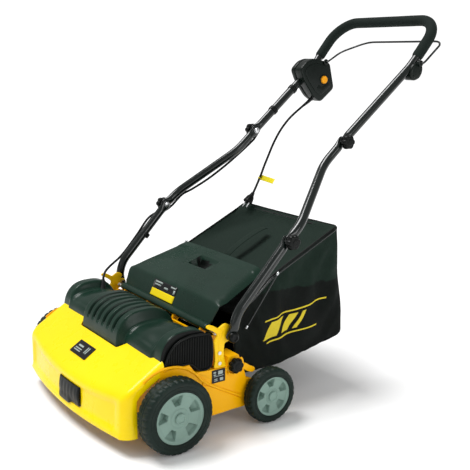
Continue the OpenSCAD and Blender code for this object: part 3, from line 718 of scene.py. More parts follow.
def cover_point(x, phi):
    y0, top, tunnel = cover_shape(x)
    y1, z0 = COVER_BACK, COVER_FOOT
    c, s = math.cos(phi), math.sin(phi)
    y = (y0 + y1) / 2 - math.copysign(abs(c) ** 0.78, c) * (y1 - y0) / 2
    z = z0 + (abs(s) ** 0.86) * (top - z0)
    rib = smoothstep(0.5, 0.78, 0.5 + 0.5 * math.cos(math.tau * (x + 4 - 14) / 28))
    on = tunnel * smoothstep(math.radians(20), math.radians(27), phi) * smoothstep(math.radians(142),
            math.radians(132), phi)
    on *= smoothstep(TUNNEL_L + 8, TUNNEL_L + 16, x) * smoothstep(TUNNEL_R - 8, TUNNEL_R - 16, x)
    dent = 7.0 * on * rib
    panel = smoothstep(112, 120, abs(x + 4)) * smoothstep(228, 222, abs(x))
    panel *= smoothstep(math.radians(30), math.radians(40), phi) * smoothstep(math.radians(105),
            math.radians(92), phi)
    dent += 3.0 * panel
    cy, cz = (y0 + y1) / 2, z0
    d = Vector((cy - y, cz - z))
    d = d.normalized() if d.length > 1 else Vector((0, -1))
    return y + d.x * dent, z + d.y * dent, on * rib


cols = []
x = -float(COVER_HALF)
while x < COVER_HALF + 0.01:
    cols.append(x)
    x += 1.37 if -116 < x < 108 else 2.74
rows, groove_shade = [], []
for x in cols:
    end = 4.5 * (1 - smoothstep(0, 5, COVER_HALF - abs(x)))
    line = []
    for k in range(65):
        phi = math.pi * k / 64
        y, z, groove = cover_point(x, phi)
        z = max(COVER_FOOT, z - end * math.sin(phi))
        line.append(at(x, y, z))
        groove_shade.append(groove)
    rows.append(line)
cover = mesh_object("motor_cover_shell", *sheet_grid(rows), "green", 60, weld=False)
# the floors of the grooves take the black material: painted shade, so the recesses read dark on the green
# cover
cover.data.materials.append(M["black"])
for polygon in cover.data.polygons:
    if min(groove_shade[v] for v in polygon.vertices) > 0.8:
        polygon.material_index = 1
modify(cover, "SOLIDIFY", thickness=0.003, offset=-1)
apply_modifiers(cover)
angle_sharp(cover.data, 60)
settle(cover, "machine", ["motor_cover"])

# end walls of the cover, behind the side vents
parts = []
for s in (-1, 1):
    outline = [cover_point(s * 271, math.pi * k / 40)[:2] for k in range(41)]
    parts.append(slab_x([(y, z - 1.5) for y, z in outline], s * 270.6, s * 273.4, 0.3))
settle(mesh_object("motor_cover_ends", *join(parts), "black", 40, weld=False), "machine", ())

# side vents: plate, louvres and a raised rim
VENT = [(-6, 196), (6, 226), (22, 243), (39, 252), (66, 257.5), (98, 255.5), (114, 253.5), (123, 239),
        (125, 202),
        (123, 181), (119, 169), (107, 164.8), (95, 165.6), (84, 170), (75, 178), (66, 187), (58, 191), (12,
                191.5)]


def span_at(outline, y):
    """Lowest and highest z of the outline at y."""
    zs = []
    for (y0, z0), (y1, z1) in zip(outline, outline[1:] + outline[:1]):
        if (y0 - y) * (y1 - y) < 0:
            zs.append(z0 + (y - y0) / (y1 - y0) * (z1 - z0))
    return (min(zs), max(zs)) if len(zs) > 1 else None


def box_x(x0, x1, y0, y1, z0, z1):
    v = [at(x, y, z) for x in (x0, x1) for y in (y0, y1) for z in (z0, z1)]
    return v, [(0, 1, 3, 2), (4, 6, 7, 5), (0, 4, 5, 1), (2, 3, 7, 6), (0, 2, 6, 4), (1, 5, 7, 3)]


vent_line = rounded(VENT, 7, 3)
for side, s in SIDES:
    parts = [slab_x(vent_line, s * 275.2, s * 279.6, 0.8)]
    y = 2.0
    while y < 127:
        found = span_at(VENT, y)
        if found and found[1] - found[0] > 16:
            lift = 0.6 + 1.2 * math.sin(math.pi * (y + 6) / 137)
            parts.append(box_x(s * 279, s * (280.8 + lift), y - 1.0, y + 1.2, found[0] + 5, found[1] - 5))
        y += 4.6
    rim = [at(s * 280.4, y, z) for y, z in vent_line]
    parts.append(sweep(rim + rim[:1], 0.0028, 10, caps=False))
    vent = mesh_object(f"{side}_vent_panel", *join(parts), "black", 35, weld=False)
    modify(vent, "BEVEL", width=0.0004, segments=2, limit_method="ANGLE")
    settle(vent, "machine", ["end_vents"] if s == 1 else ())


# ---------------------------------------------------------------- chassis sides

def arc(cy, cz, r, a0, a1, n):
    return [(cy + r * math.cos(math.radians(lerp(a0, a1, i / n))),
             cz + r * math.sin(math.radians(lerp(a0, a1, i / n))))
            for i in range(n + 1)]


for side, s in SIDES:
    # wheel-arch lip, then the crease that runs down to the rear wheel
    lip = arc(0, 90, 104, 128, 32, 26)
    lip += [(96, 139), (108, 130), (128, 118), (152, 104), (178, 90), (203, 77)]
    line = smooth_path([at(s * 285.6, y, z) for y, z in lip], 2)
    ridge = sweep(line, (0.0022, 0.0034), 12)
    panel = slab_x(rounded([(118, 47), (96, 128), (110, 124), (203, 71), (216, 50), (214, 47)], 6, 3),
                   s * 283.6, s * 286.2, 1.2)
    upper = slab_x(rounded([(-14, 186), (-4, 189.5), (56, 187.5), (73, 165.5), (126, 162.5), (130, 158),
                            (132, 134),
                            (100, 142), (70, 168), (38, 186), (10, 188)], 5, 3), s * 283.4, s * 285.0, 0.7)
    seam = [at(s * 285.4, 73, 49), at(s * 285.4, 82, 84), at(s * 285.4, 92, 118), at(s * 285.4, 96, 139)]
    strip = sweep(smooth_path(seam, 6), 0.0018, 10)
    skin = mesh_object(f"{side}_side_relief", *join([ridge, panel, upper, strip]), "chassis", 40, weld=False)
    settle(skin, "machine", ())
    # inner arch ahead of the chassis, in the wheel's shadow
    liner = []
    for i in range(25):
        a = math.radians(lerp(190, 96, i / 24))
        liner.append([at(s * x, 0 + r * math.cos(a), 90 + r * math.sin(a))
                      for x, r in ((262, 96.5), (268, 97), (273, 98), (277, 99.5), (278.5, 101))])
    well = mesh_object(f"{side}_arch_liner", *sheet_grid(liner), "chassis", 50)
    modify(well, "SOLIDIFY", thickness=0.002, offset=0)
    apply_modifiers(well)
    settle(well, "machine", ())

# foot brackets: a forked yellow plate with a raised rib
FORK = [(127, 162.8), (163.6, 161), (158, 178), (155, 200), (158, 221), (172, 225.5), (182, 229),
        (184.8, 238),
        (182, 247), (167, 252), (173.5, 257), (172, 264.5), (160, 270.5), (150, 266.5), (141, 260.5), (128,
                269.5),
        (116, 274.5), (108.5, 273.5), (106.3, 268), (113, 264), (128, 255), (137, 247), (136, 240), (128,
                228),
        (129.2, 215), (131, 185)]
for side, s in SIDES:
    plate = slab_x(rounded(FORK, 5, 4), s * 277.9, s * 283.7, 1.6)
    rib = sweep(smooth_path([at(s * 283.2, 146, 166), at(s * 283.2, 142, 190), at(s * 283.2, 142, 222),
                             at(s * 283.2, 146, 244), at(s * 283.2, 158, 262)], 6), (0.0018, 0.0034), 12)
    fork = mesh_object(f"{side}_foot_bracket", *join([plate, rib]), "bracket", 40, weld=False)
    settle(fork, "machine", ["foot_brackets"] if s == 1 else ())


# the cradle round the depth knob, with the arm of its lever
DEPTH_KNOB = (182, 163)
cradle = slab_x(arc(*DEPTH_KNOB, 27, -135, 30, 24) + arc(*DEPTH_KNOB, 21.8, 30, -135, 24), 283.4, 291, 1.2)
arm = slab_x(rounded([(203, 150), (206, 160), (216, 160), (230, 150), (243, 143), (244, 135), (236, 131),
                      (222, 137)], 4, 3),
             283.4, 289.5, 1.2)
settle(mesh_object("depth_knob_cradle", *join([cradle, arm]), "chassis", 40, weld=False), "machine", ())


# ---------------------------------------------------------------- wheels

def wheel(side, s, end, y, r, face, width, rim_r, teeth):
    body = f"{end}_{side}_wheel"
    steps = teeth * 8
    # tyre: shoulder blocks, a centre band and a ridged side wall
    half = width / 2
    mid = face - half
    section = []
    for i in range(11):
        t = i / 10
        section.append((face - 2.2 * math.sin(math.pi * t) ** 0.5 * 0.4,
                        lerp(rim_r, r - 10, t), 0.0))
    for i in range(1, 9):
        w = math.pi / 2 * i / 8
        section.append((face - 10 * (1 - math.cos(w)), r - 10 + 10 * math.sin(w) - 0.2,
                        smoothstep(0.25, 1.2, w)))
    for i in range(1, 8):
        section.append((lerp(face - 10, face - width + 10, i / 8), r, 1.0))
    mirror_part = [(2 * mid - x, rr, d) for x, rr, d in section[:19]][::-1]
    section = section + mirror_part
    verts = []
    for x, rr, depth in section:
        across = (x - mid) / half
        for k in range(steps):
            phase = (k / 8 + (0.5 if across < 0 else 0) + 0.35 * abs(across)) % 1.0
            groove = smoothstep(0.0, 0.12, phase) * smoothstep(0.42, 0.30, phase)
            outer = smoothstep(0.22, 0.4, abs(across))
            centre = smoothstep(0.10, 0.16, abs(across)) * smoothstep(0.27, 0.2, abs(across))
            cut = depth * (2.6 * groove * outer + 2.0 * centre)
            w = math.tau * k / steps
            q = rr - cut
            verts.append(at(s * x, y + q * math.cos(w), r + q * math.sin(w)))
    faces = grid_faces(len(section), steps, close_columns=True)
    rings = []
    for ring_r, high_mm in ((rim_r + 4, 1.0), (lerp(rim_r, r, 0.45), 0.8)):
        profile = [(face - 0.9 + high_mm * math.cos(a), ring_r + 1.1 * math.sin(a))
                   for a in (lerp(-math.pi / 2, math.pi / 2, i / 6) for i in range(7))]
        rings.append(lathe_x(profile, y, r, 96, s))
    tyre = mesh_object(f"{end}_{side}_tyre_tread", *join([(verts, faces), *rings]), "tyre", 48, weld=False)
    settle(tyre, body, [f"{end}_{side}_tyre"])

    # hub: a dished face with five wedge windows, seen through to their sloping floors
    n_r = 34
    radii = [13 + (rim_r - 0.8 - 13) * i / n_r for i in range(n_r + 1)]
    n_t = 240
    rows = []
    for q in radii:
        row = []
        for k in range(n_t):
            w = math.tau * k / n_t
            fifth = ((w + math.radians(12)) / (math.tau / 5)) % 1.0
            off = abs(fifth - 0.5) * (math.tau / 5) * q
            inner, outer = 0.52 * rim_r, 0.86 * rim_r
            wide = lerp(0.10, 0.235, (q - inner) / (outer - inner)) * rim_r
            window = smoothstep(inner - 1.5, inner + 1.0, q) * smoothstep(outer + 1.5, outer - 1.0, q)
            window *= smoothstep(wide + 1.2, wide - 1.2, off)
            depth = window * lerp(6, 17, (outer - q) / (outer - inner) if outer > q else 0)
            dish = 3.2 * smoothstep(0.93 * rim_r, 0.80 * rim_r, q) - 2.4 * smoothstep(0.40 * rim_r,
                    0.33 * rim_r, q)
            row.append(at(s * (face - 3.0 - dish - depth + 1.8 * smoothstep(0.95 * rim_r, 0.99 * rim_r, q)),
                          y + q * math.cos(w), r + q * math.sin(w)))
        rows.append(row)
    hv = [p for row in rows for p in row]
    hf = grid_faces(len(rows), n_t, close_columns=True)
    back = lathe_x([(face - 1.4, rim_r - 0.8), (face - 1.6, rim_r - 0.1), (face - width + 3.2, rim_r - 0.1),
                    (face - width + 3.2, rim_r - 5), (face - 24, rim_r - 5.5), (face - 25,
                            rim_r - 8), (face - 25, 15.0),
                    (face - width - 0.2, 14.8), (face - width - 0.2, 6.2), (face - 9, 6.2)], y, r, 120, s)
    hub = mesh_object(f"{end}_{side}_hub_disc", *join([(hv, hf), back]), "hub", 55, weld=False)
    settle(hub, body, [f"{end}_{side}_hub"])

    cap = lathe_x([(face - 4, 13), (face + 0.4, 13), (face + 1.6, 12.2), (face + 1.9, 10.6),
                   (face + 1.4, 9.4),
                   (face + 0.2, 8.9), (face + 0.1, 4), (face + 0.6, 2.2), (face + 0.7, 0.01)], y, r, 72, s)
    lid = mesh_object(f"{end}_{side}_axle_cap", *cap, "hub", 50)
    settle(lid, body, [f"{end}_{side}_cap"])


for side, s in SIDES:
    wheel(side, s, "front", 0, 90, 340, 48, 62.5, 34)
    wheel(side, s, "rear", 275, 70, 325, 36, 50, 28)


# ---------------------------------------------------------------- flap

FLAP = [(149, 238), (151.5, 244), (154, 250), (165.5, 275), (174, 293.5), (177.5, 299.5), (182, 303.8),
        (190, 308.2),
        (230, 322.6), (260, 333.3), (290, 344.2), (307, 350.3), (318, 354.4), (334, 360)]
HALF = [(140, 190), (152, 219), (172, 230), (210, 226), (336, 194)]


def flap_rows():
    lengths = [0]
    for a, b in zip(FLAP, FLAP[1:]):
        lengths.append(lengths[-1] + math.dist(a, b))
    rows = []
    n = 74
    for i in range(n + 1):
        d = lengths[-1] * i / n
        y = table(list(zip(lengths, [p[0] for p in FLAP])), d)
        z = table(list(zip(lengths, [p[1] for p in FLAP])), d)
        half = table(HALF, y)
        if z < 262:
            half = lerp(208, 226, (z - 238) / 24)
        row = []
        m = 96
        for j in range(m + 1):
            u = -1 + 2 * j / m
            x = half * u
            edge = half - abs(x)
            roll = 15 * (1 - min(1, edge / 26)) ** 2 * smoothstep(165, 200, y)
            swell = 2.2 * (1 - u * u) * smoothstep(170, 230, y)
            bowl = smoothstep(47, 42, abs(x)) * smoothstep(260, 268, y) * smoothstep(305, 296, y)
            bowl *= lerp(1.0, 0.25, smoothstep(-44, 44, x))
            lip = 1.6 * smoothstep(308, 316, y) * smoothstep(0, 16, edge)
            drop = roll * 0.75 - swell + 1.8 * smoothstep(165, 190, y) - lip + 24 * bowl
            row.append(at(x, y, z - drop))
        rows.append(row)
    return rows


flap = mesh_object("flap_shell", *sheet_grid(flap_rows()), "green", 50)
# the deep floor of the pocket in the middle of the flap takes the black material: painted shade in the recess
flap.data.materials.append(M["black"])
for polygon in flap.data.polygons:
    c = polygon.center
    if abs(c.x) < 0.045 and 0.262 < c.y - AXLE < 0.301 and c.z < table(FLAP,
            (c.y - AXLE) * 1000) / 1000 - 0.009:
        polygon.material_index = 1
modify(flap, "SOLIDIFY", thickness=0.0034, offset=-1)
apply_modifiers(flap)
angle_sharp(flap.data, 45)
settle(flap, "flap", ["rear_flap"])

parts = []
for x0, x1 in ((-232, -205), (-195, -75), (-65, 65), (75, 195), (205, 232)):
    r = 8.0
    profile = [(x0, 4.2), (x0, r - 1.5), (x0 + 1.5, r), (x1 - 1.5, r), (x1, r - 1.5), (x1, 4.2)]
    parts.append(lathe_x(profile, 152, 240, 40))
# a curved strip along the front that covers the hinge rod
strip_rows = [[at(x, 152 + 12.6 * math.cos(a), 240 + 12.6 * math.sin(a))
               for a in (math.radians(lerp(68, 168, k / 12)) for k in range(13))] for x in range(-224, 225,
                       8)]
strip = mesh_object("flap_hinge_cover", *sheet_grid(strip_rows), "green", 50)
modify(strip, "SOLIDIFY", thickness=0.0016, offset=0)
apply_modifiers(strip)
settle(strip, "flap", ())
sleeves = mesh_object("flap_hinge_sleeves", *join(parts), "green", 50, weld=False)
settle(sleeves, "flap", ())


FACE = Vector((0, 0.418, 0.909))
FACE_OUT = Vector((0, -0.909, 0.418))


def decal(name, corners, material, lift, thick=0.0004, nodes=(), n=10):
    """A thin film on the flap's steep face. Corners are x and the distance up the face, in order round it."""
    rows = []
    for i in range(n + 1):
        v = i / n
        row = []
        for j in range(n + 1):
            u = j / n
            x = lerp(lerp(corners[0][0], corners[1][0], u), lerp(corners[3][0], corners[2][0], u), v)
            t = lerp(lerp(corners[0][1], corners[1][1], u), lerp(corners[3][1], corners[2][1], u), v)
            row.append(at(x, 154, 250) + FACE * (t / 1000) + FACE_OUT * (lift / 1000))
        rows.append(row)
    obj = mesh_object(name, *sheet_grid(rows), material, 40)
    modify(obj, "SOLIDIFY", thickness=thick, offset=-1)
    apply_modifiers(obj)
    settle(obj, "flap", nodes)
    return obj


decal("flap_label_film", ((-80, 50), (40, 50), (40, 4), (-80, 4)), "label", 0.6,
      nodes=["flap_label"])
decal("flap_label_field", ((-79, 25), (39, 25), (39, 5), (-79, 5)), "print", 1.0)
for k, (x0, x1, t0, t1) in enumerate(((-72, -34, 47, 42), (-72, -40, 39, 35), (-22, -2, 38, 33),
                                      (8, 34, 47, 43),
                                      (26, 34, 40, 29))):
    decal(f"flap_label_bar_{k}", ((x0, t0), (x1, t0), (x1, t1), (x0, t1)), "pale", 1.0, n=2)


# ---------------------------------------------------------------- labels on hood and chassis

def plate_on(name, origin, across, along, w, h, material, lift, body, nodes=(), corner=2.0):
    """A rounded film w by h mm at origin, spanned by the unit vectors across and along."""
    normal = across.cross(along).normalized()
    pts = []
    for sx, sy, a0 in ((1, 1, 0), (-1, 1, 90), (-1, -1, 180), (1, -1, 270)):
        for k in range(4):
            a = math.radians(a0 + 30 * k)
            pts.append(((sx * (w / 2 - corner) + corner * math.cos(a)) / 1000,
                        (sy * (h / 2 - corner) + corner * math.sin(a)) / 1000))
    verts = [origin + across * u + along * v + normal * (lift / 1000) for u, v in pts]
    verts += [origin + across * u + along * v + normal * ((lift - 0.5) / 1000) for u, v in pts]
    n = len(pts)
    faces = [tuple(range(n)), tuple(range(2 * n - 1, n - 1, -1))]
    faces += [(k, k + n, (k + 1) % n + n, (k + 1) % n) for k in range(n)]
    obj = mesh_object(name, verts, faces, material, 30)
    settle(obj, body, nodes)
    return obj


tilt = math.atan2(79, 129)
up_slope = Vector((0, math.cos(tilt), math.sin(tilt)))
east = Vector((1, 0, 0))
badge = at(0, -82, slope_z(-82) + 1.1)
plate_on("hood_badge_plate", badge, east, up_slope, 88, 40, "label", 0.9, "machine",
         ["labels"], 3)
for k, (u, v, w, h) in enumerate(((-18, 6, 26, 5), (-18, -3, 34, 3), (-18, -9, 34, 3), (16, 3, 4, 20),
                                  (24, 3, 4, 20))):
    plate_on(f"hood_badge_mark_{k}", badge + east * (u / 1000) + up_slope * (v / 1000), east, up_slope, w,
             h, "pale",
             1.2, "machine", (), 1.0)
for side, s in SIDES:
    north, up = Vector((0, s * 1.0, 0)), Vector((0, 0, 1))
    centre = at(s * 285.2, 138.5, 143.5)
    plate_on(f"{side}_side_label", centre, north, up, 38, 33, "label", 0.6, "machine", (), 2)
    for k, (u, v, w, h) in enumerate(((5, 8, 13, 9), (-11, 10, 7, 4), (-11, 4, 7, 3), (8, -9, 9, 7),
                                      (-8, -7, 9, 2),
                                      (-8, -11, 9, 2), (0, 0, 28, 1.5))):
        plate_on(f"{side}_side_mark_{k}", centre + north * (u / 1000) + up * (v / 1000), north, up, w, h,
                 "pale", 0.9,
                 "machine", (), 0.8)


# ---------------------------------------------------------------- handle tubes

R = 12.0
FOOT, KNEE, ELBOW = Vector((297, 172, 238)), Vector((297, 335, 451)), Vector((198, 595, 668))
FOOT_BEND, KNEE_BEND, ELBOW_BEND = Vector((297, 182, 292)), Vector((295, 375, 485)), Vector((198, 530, 612))


def mm(points, s=1):
    return [at(s * p.x, p.y, p.z) for p in points]


BOLT_END = 12.5                # mm from a bolt to the end of its tube
FLAT_X, FLAT_UP = 4.2, 15.0    # half thickness and half height of a pressed end
PRESS = (13, 38)               # mm over which the tube goes from flat to round


def nose_at(d):
    """How much of a pressed end's height is left d mm from its rounded tip."""
    return math.sqrt(max(0.02, 1 - ((BOLT_END - d) / BOLT_END) ** 2))


def flat_tube(core, start_shift, end_shift, s, sides=24):
    """A round tube through core, in mm, with ends pressed flat and shifted along X beside a bolt."""
    pts, radii = [], []
    total = [0]
    for a, b in zip(core, core[1:]):
        total.append(total[-1] + (b - a).length)
    for p, d in zip(core, total):
        press = 1.0
        shift = 0.0
        if start_shift is not None:
            k = smoothstep(*PRESS, d)
            press = min(press, k)
            shift += start_shift * (1 - k)
        if end_shift is not None:
            k = smoothstep(*PRESS, total[-1] - d)
            press = min(press, k)
            shift += end_shift * (1 - k)
        pts.append(Vector((p.x + shift, p.y, p.z)))
        nose = 1.0
        for live, e in ((start_shift is not None, d), (end_shift is not None, total[-1] - d)):
            if live and e < BOLT_END:
                nose = min(nose, nose_at(e))
        radii.append((lerp(FLAT_X, R, press) / 1000, lerp(FLAT_UP, R, press) * nose / 1000))
    return sweep(mm(pts, s), radii, sides)


def dense(points, step=4.0):
    out = []
    for a, b in zip(points, points[1:]):
        n = max(1, int((b - a).length / step))
        out += [a.lerp(b, i / n) for i in range(n)]
    return out + [points[-1]]


def beyond(a, b, d):
    return a + (a - b).normalized() * d


lower_core = dense([beyond(FOOT, FOOT_BEND, BOLT_END)] + bend(FOOT, FOOT_BEND, KNEE, 26)
                   + [beyond(KNEE, FOOT_BEND, BOLT_END)])
middle_core = dense([beyond(KNEE, KNEE_BEND, BOLT_END)] + bend(KNEE, KNEE_BEND, ELBOW_BEND, 22)
                    + bend(KNEE_BEND, ELBOW_BEND, ELBOW, 28) + [beyond(ELBOW, ELBOW_BEND, BOLT_END)])


def bolt(x0, x1, y, z, s, head=7.5):
    """A carriage bolt through two flat ends, with a washer and a domed head inside."""
    profile = [(x0, 0.01), (x0 - 0.2, head * 0.5), (x0 + 1.2, head * 0.9), (x0 + 3.2, head), (x0 + 3.6, head),
               (x0 + 3.7, 8.8), (x0 + 5.0, 8.8), (x0 + 5.1, 4), (x1, 4), (x1 + 0.4, 3.2), (x1 + 0.4, 0.01)]
    return lathe_x(profile, y, z, 32, s)


parts_low, parts_mid, bolts_low, bolts_mid = [], [], [], []
for s in (1, -1):
    parts_low.append(flat_tube(lower_core, -7, -4.7, s))
    parts_mid.append(flat_tube(middle_core, 4.7, -4.7, s))
    bolts_low.append(bolt(283, 318, KNEE.y, KNEE.z, s))
    bolts_mid.append(bolt(184, 219, ELBOW.y, ELBOW.z, s))
low_tubes = mesh_object("lower_handle_tubes", *join(parts_low), "tube", 40, weld=False)
settle(low_tubes, "lower_handle", ["lower_tubes"])
mid_tubes = mesh_object("middle_handle_tubes", *join(parts_mid), "tube", 40, weld=False)
settle(mid_tubes, "middle_handle", ["middle_tubes"])
settle(mesh_object("knee_bolts", *join(bolts_low), "zinc", 40, weld=False), "lower_handle", ())
settle(mesh_object("elbow_bolts", *join(bolts_mid), "zinc", 40, weld=False), "middle_handle", ())

parts = []
for s in (1, -1):
    parts.append(lathe_x([(294.6, 12), (295, 13.6), (299, 14), (304, 13.4), (307.6, 11), (308.8, 7.5),
                          (308.2, 6),
                          (306.5, 5.6), (306.5, 0.01)], FOOT.y, FOOT.z, 48, s))
caps = mesh_object("foot_bolt_caps", *join(parts), "black", 40, weld=False)
settle(caps, "lower_handle", ["foot_caps"])

SLOPE = math.radians(49)
TOP_S, TURN, LOOP_X = 169, 75, 206


def loop(x, s):
    return Vector((x, 830 + s * math.cos(SLOPE), 860 + s * math.sin(SLOPE)))


UPPER_BEND = Vector((203, 830, 860))
half_loop = bend(ELBOW, UPPER_BEND, loop(LOOP_X, 60), 16, 6)
half_loop += dense([loop(LOOP_X, 40), loop(LOOP_X, TOP_S - TURN)], 12)[:-1]
corner = [loop(LOOP_X - TURN + TURN * math.cos(a), TOP_S - TURN + TURN * math.sin(a))
          for a in (math.pi / 2 * i / 18 for i in range(19))]
whole = half_loop + corner
mirror_mm = lambda pts: [Vector((-p.x, p.y, p.z)) for p in reversed(pts)]
loop_core = dense([beyond(ELBOW, UPPER_BEND, BOLT_END), half_loop[0]], 4)[:-1] + whole
bar = dense([corner[-1], Vector((-corner[-1].x, corner[-1].y, corner[-1].z))], 20)[1:-1]
loop_core = loop_core + bar + mirror_mm(dense([beyond(ELBOW, UPPER_BEND, BOLT_END), half_loop[0]], 4)[:-1]
                                        + whole)


def grip_loop_tube():
    pts, radii = [], []
    n = len(loop_core)
    first, last = loop_core[0], loop_core[-1]
    for p in loop_core:
        d0, d1 = (p - first).length, (p - last).length
        d = min(d0, d1)
        sign = 1 if d0 < d1 else -1
        k = smoothstep(*PRESS, d)
        nose = 1.0 if d > BOLT_END else nose_at(d)
        pts.append(Vector((p.x + sign * 4.7 * (1 - k), p.y, p.z)))
        radii.append((lerp(FLAT_X, R, k) / 1000, lerp(FLAT_UP, R, k) * nose / 1000))
    return sweep(mm(pts), radii, 24)


grip_tube = mesh_object("grip_loop_tube", *grip_loop_tube(), "tube", 40, weld=False)
settle(grip_tube, "grip_loop", ["grip_tube"])

foam_core = dense([loop(205, 32), loop(LOOP_X, 60)],
                  6)[:-1] + dense([loop(LOOP_X, 60), loop(LOOP_X, TOP_S - TURN)], 6)[:-1]
foam_core = foam_core + corner
foam_core = foam_core + bar + mirror_mm(foam_core)
foam_r = []
for i, p in enumerate(foam_core):
    d = min((p - foam_core[0]).length, (p - foam_core[-1]).length)
    r = 15.5 - 2.2 * (1 - smoothstep(0, 5, d)) + 0.25 * noise.noise(p * 0.02)
    foam_r.append(r / 1000)
foam = mesh_object("foam_grip_sleeve", *sweep(mm(foam_core), foam_r, 28), "foam", 45, weld=False)
settle(foam, "grip_loop", ["foam_grip"])


# ---------------------------------------------------------------- switch box and bail

BUTTON, BAIL_PIVOT = (838, 815), (845, 869)
BOX = [(772, 872), (746, 847), (762, 812), (800, 764), (830, 745), (885, 787), (866, 867), (802, 881)]
outer_half = slab_x(rounded(BOX, 12, 5), -221.8, -203.5, 5, 5)
inner_half = slab_x(rounded(BOX, 12, 5), -202.5, -168.5, 6, 5)
raised = slab_x(rounded([(782, 862), (762, 843), (775, 815), (806, 778), (826, 765), (872, 797),
                         (856, 856), (806, 866)],
                        12, 5), -170.5, -166.3, 2.4, 4)
collar = lathe_x([(-167, 16.2), (-164.8, 15.6), (-164.4, 14.2), (-165.2, 13), (-168, 12.6)], *BUTTON, 48)
boss = lathe_x([(-167, 9), (-164.6, 8.6), (-163.8, 7), (-163.8, 3.4), (-167, 3.3)], *BAIL_PIVOT, 40)
seat = slab_x(rounded([(812, 788), (832, 772), (862, 796), (856, 806), (832, 792), (818, 800)], 4, 3),
              -166.8, -164.9, 0.7)
box_obj = mesh_object("switch_box_shell", *join([outer_half, inner_half, raised, collar, boss, seat]),
                      "dark", 42,
                      weld=False)
settle(box_obj, "grip_loop", ["switch_box_outer", "switch_box_inner"])
screws = [screw(-221.6, y, z, 3.6, 1.4, -1) for y, z in ((775, 848), (812, 775), (868, 800), (850, 862))]
settle(mesh_object("switch_box_screws", *join(screws), "zinc", 40, weld=False), "grip_loop", ())

button = lathe_x([(-177, 11.9), (-162.4, 11.9), (-161.2, 11.2), (-160.3, 9.4), (-160.8, 6.5),
                  (-161.1, 0.01)], *BUTTON, 48)
settle(mesh_object("lock_button_dome", *button, "orange", 50), "lock", ["lock_button"])

bracket_parts = []
body = slab_x(rounded([(816, 838), (820, 826), (834, 822), (852, 828), (862, 842), (864, 858), (856, 872),
                       (842, 874),
                       (826, 866), (817, 852)], 8, 4), 186.4, 221.6, 6, 5)
bracket_parts += [body, lathe_x([(220, 9), (229.5, 8.4), (230.8, 6.8), (230.8, 3.3), (226, 3.2)],
                                *BAIL_PIVOT, 40)]
bracket_parts += [screw(221.4, y, z, 3.4, 1.4) for y, z in ((828, 834), (852, 846))]
settle(mesh_object("bail_bracket_body", *join(bracket_parts), "dark", 42, weld=False), "grip_loop",
       ["bail_bracket"])

bail_pts = [V((-174, 845, 869)), V((-160, 845, 869))]
bail_pts += bend(V((-160, 845, 869)), V((-155, 898, 900)), V((-92, 950, 929)), 20, 8)
bail_pts += bend(V((-155, 898, 900)), V((-92, 950, 929)), V((160, 950, 929)), 30, 8)
bail_pts += bend(V((-92, 950, 929)), V((205, 950, 929)), V((236, 890, 894)), 28, 8)
bail_pts += bend(V((205, 950, 929)), V((236, 858, 877)), V((236, 845, 869)), 8, 4)
bail_pts += bend(V((236, 858, 877)), V((236, 845, 869)), V((225, 845, 869)), 7, 6) + [V((225, 845, 869))]
bail = mesh_object("bail_wire", *sweep(mm(bail_pts), 0.003, 16), "tube", 45, weld=False)
settle(bail, "bail_lever", ["bail"])


def clip(c, way, r, ear):
    """Two bands round a tube at c that runs along way, each with an ear towards the right-hand side."""
    side = Vector((1, 0, 0))
    up = way.cross(side).normalized()
    bands = []
    for k in range(2):
        ring = []
        for i in range(49):
            a = math.tau * i / 48
            out = max(0.0, -math.cos(a)) ** 3
            ring.append(c + way * (-3 + 6 * k) + side * ((r + ear * out) * math.cos(a))
                        + up * ((r - 5.5 * out) * math.sin(a)))
        bands.append(sweep(mm(ring), (0.0012, 0.0036), 10, caps=False))
    return bands


# clips that hold the cable to the right-hand tube
TUBE_R0, TUBE_R1 = Vector((-198, 595, 668)), Vector((-203, 830, 860))
parts = []
for t in (0.3, 0.62):
    parts += clip(TUBE_R0.lerp(TUBE_R1, t), (TUBE_R1 - TUBE_R0).normalized(), 13.4, 7.6)
settle(mesh_object("cable_clip_bands", *join(parts), "black", 50, weld=False), "grip_loop",
       ["cable_clips"])


# ---------------------------------------------------------------- knobs

def star(x0, y, z, r, h, lobes, s, collar_r=9.0):
    """A lobed knob on the X axis whose base is at x0 mm, growing outwards."""
    layers = [(0, collar_r / r), (0.6, collar_r / r + 0.02), (2.4, collar_r / r + 0.02), (2.6, 0.80),
              (3.6, 0.93),
              (h * 0.3, 1.0), (h * 0.62, 0.98), (h * 0.8, 0.92), (h * 0.9, 0.82), (h * 0.93,
                      0.66), (h * 0.9, 0.52),
              (h * 0.93, 0.40), (h * 1.0, 0.34), (h * 1.0, 0.1)]
    steps = lobes * 16
    verts = []
    for dx, k in layers:
        lobed = smoothstep(0.62, 0.84, k)
        for i in range(steps):
            a = math.tau * i / steps
            wave = abs(math.cos(lobes * a / 2)) ** 0.8
            q = r * k * (1 - 0.2 * lobed * (1 - wave))
            verts.append(at(s * (x0 + dx), y + q * math.cos(a), z + q * math.sin(a)))
    faces = grid_faces(len(layers), steps, close_columns=True)
    faces.append([(len(layers) - 1) * steps + i for i in range(steps)])
    faces.append(list(range(steps))[::-1])
    return verts, faces


for side, s in SIDES:
    knob = mesh_object(f"{side}_knee_star_knob", *star(306.5, KNEE.y, KNEE.z, 19.8, 21.8, 6, s), "black", 48)
    settle(knob, f"{side}_knee", [f"{side}_knee_knob"])
    knob = mesh_object(f"{side}_elbow_star_knob", *star(207.5, ELBOW.y, ELBOW.z, 19.8, 21.8, 6, s),
                       "black", 48)
    settle(knob, f"{side}_elbow", [f"{side}_elbow_knob"])
depth = join([star(286.1, *DEPTH_KNOB, 19.4, 21.6, 7, 1), lathe_x([(267, 4.8), (287, 4.8)], *DEPTH_KNOB, 24),
              screw(307.2, *DEPTH_KNOB, 4, 1.2)])
settle(mesh_object("depth_setting_knob", *depth, "black", 48, weld=False), "depth", ["depth_knob"])


# ---------------------------------------------------------------- motor cable along the handle

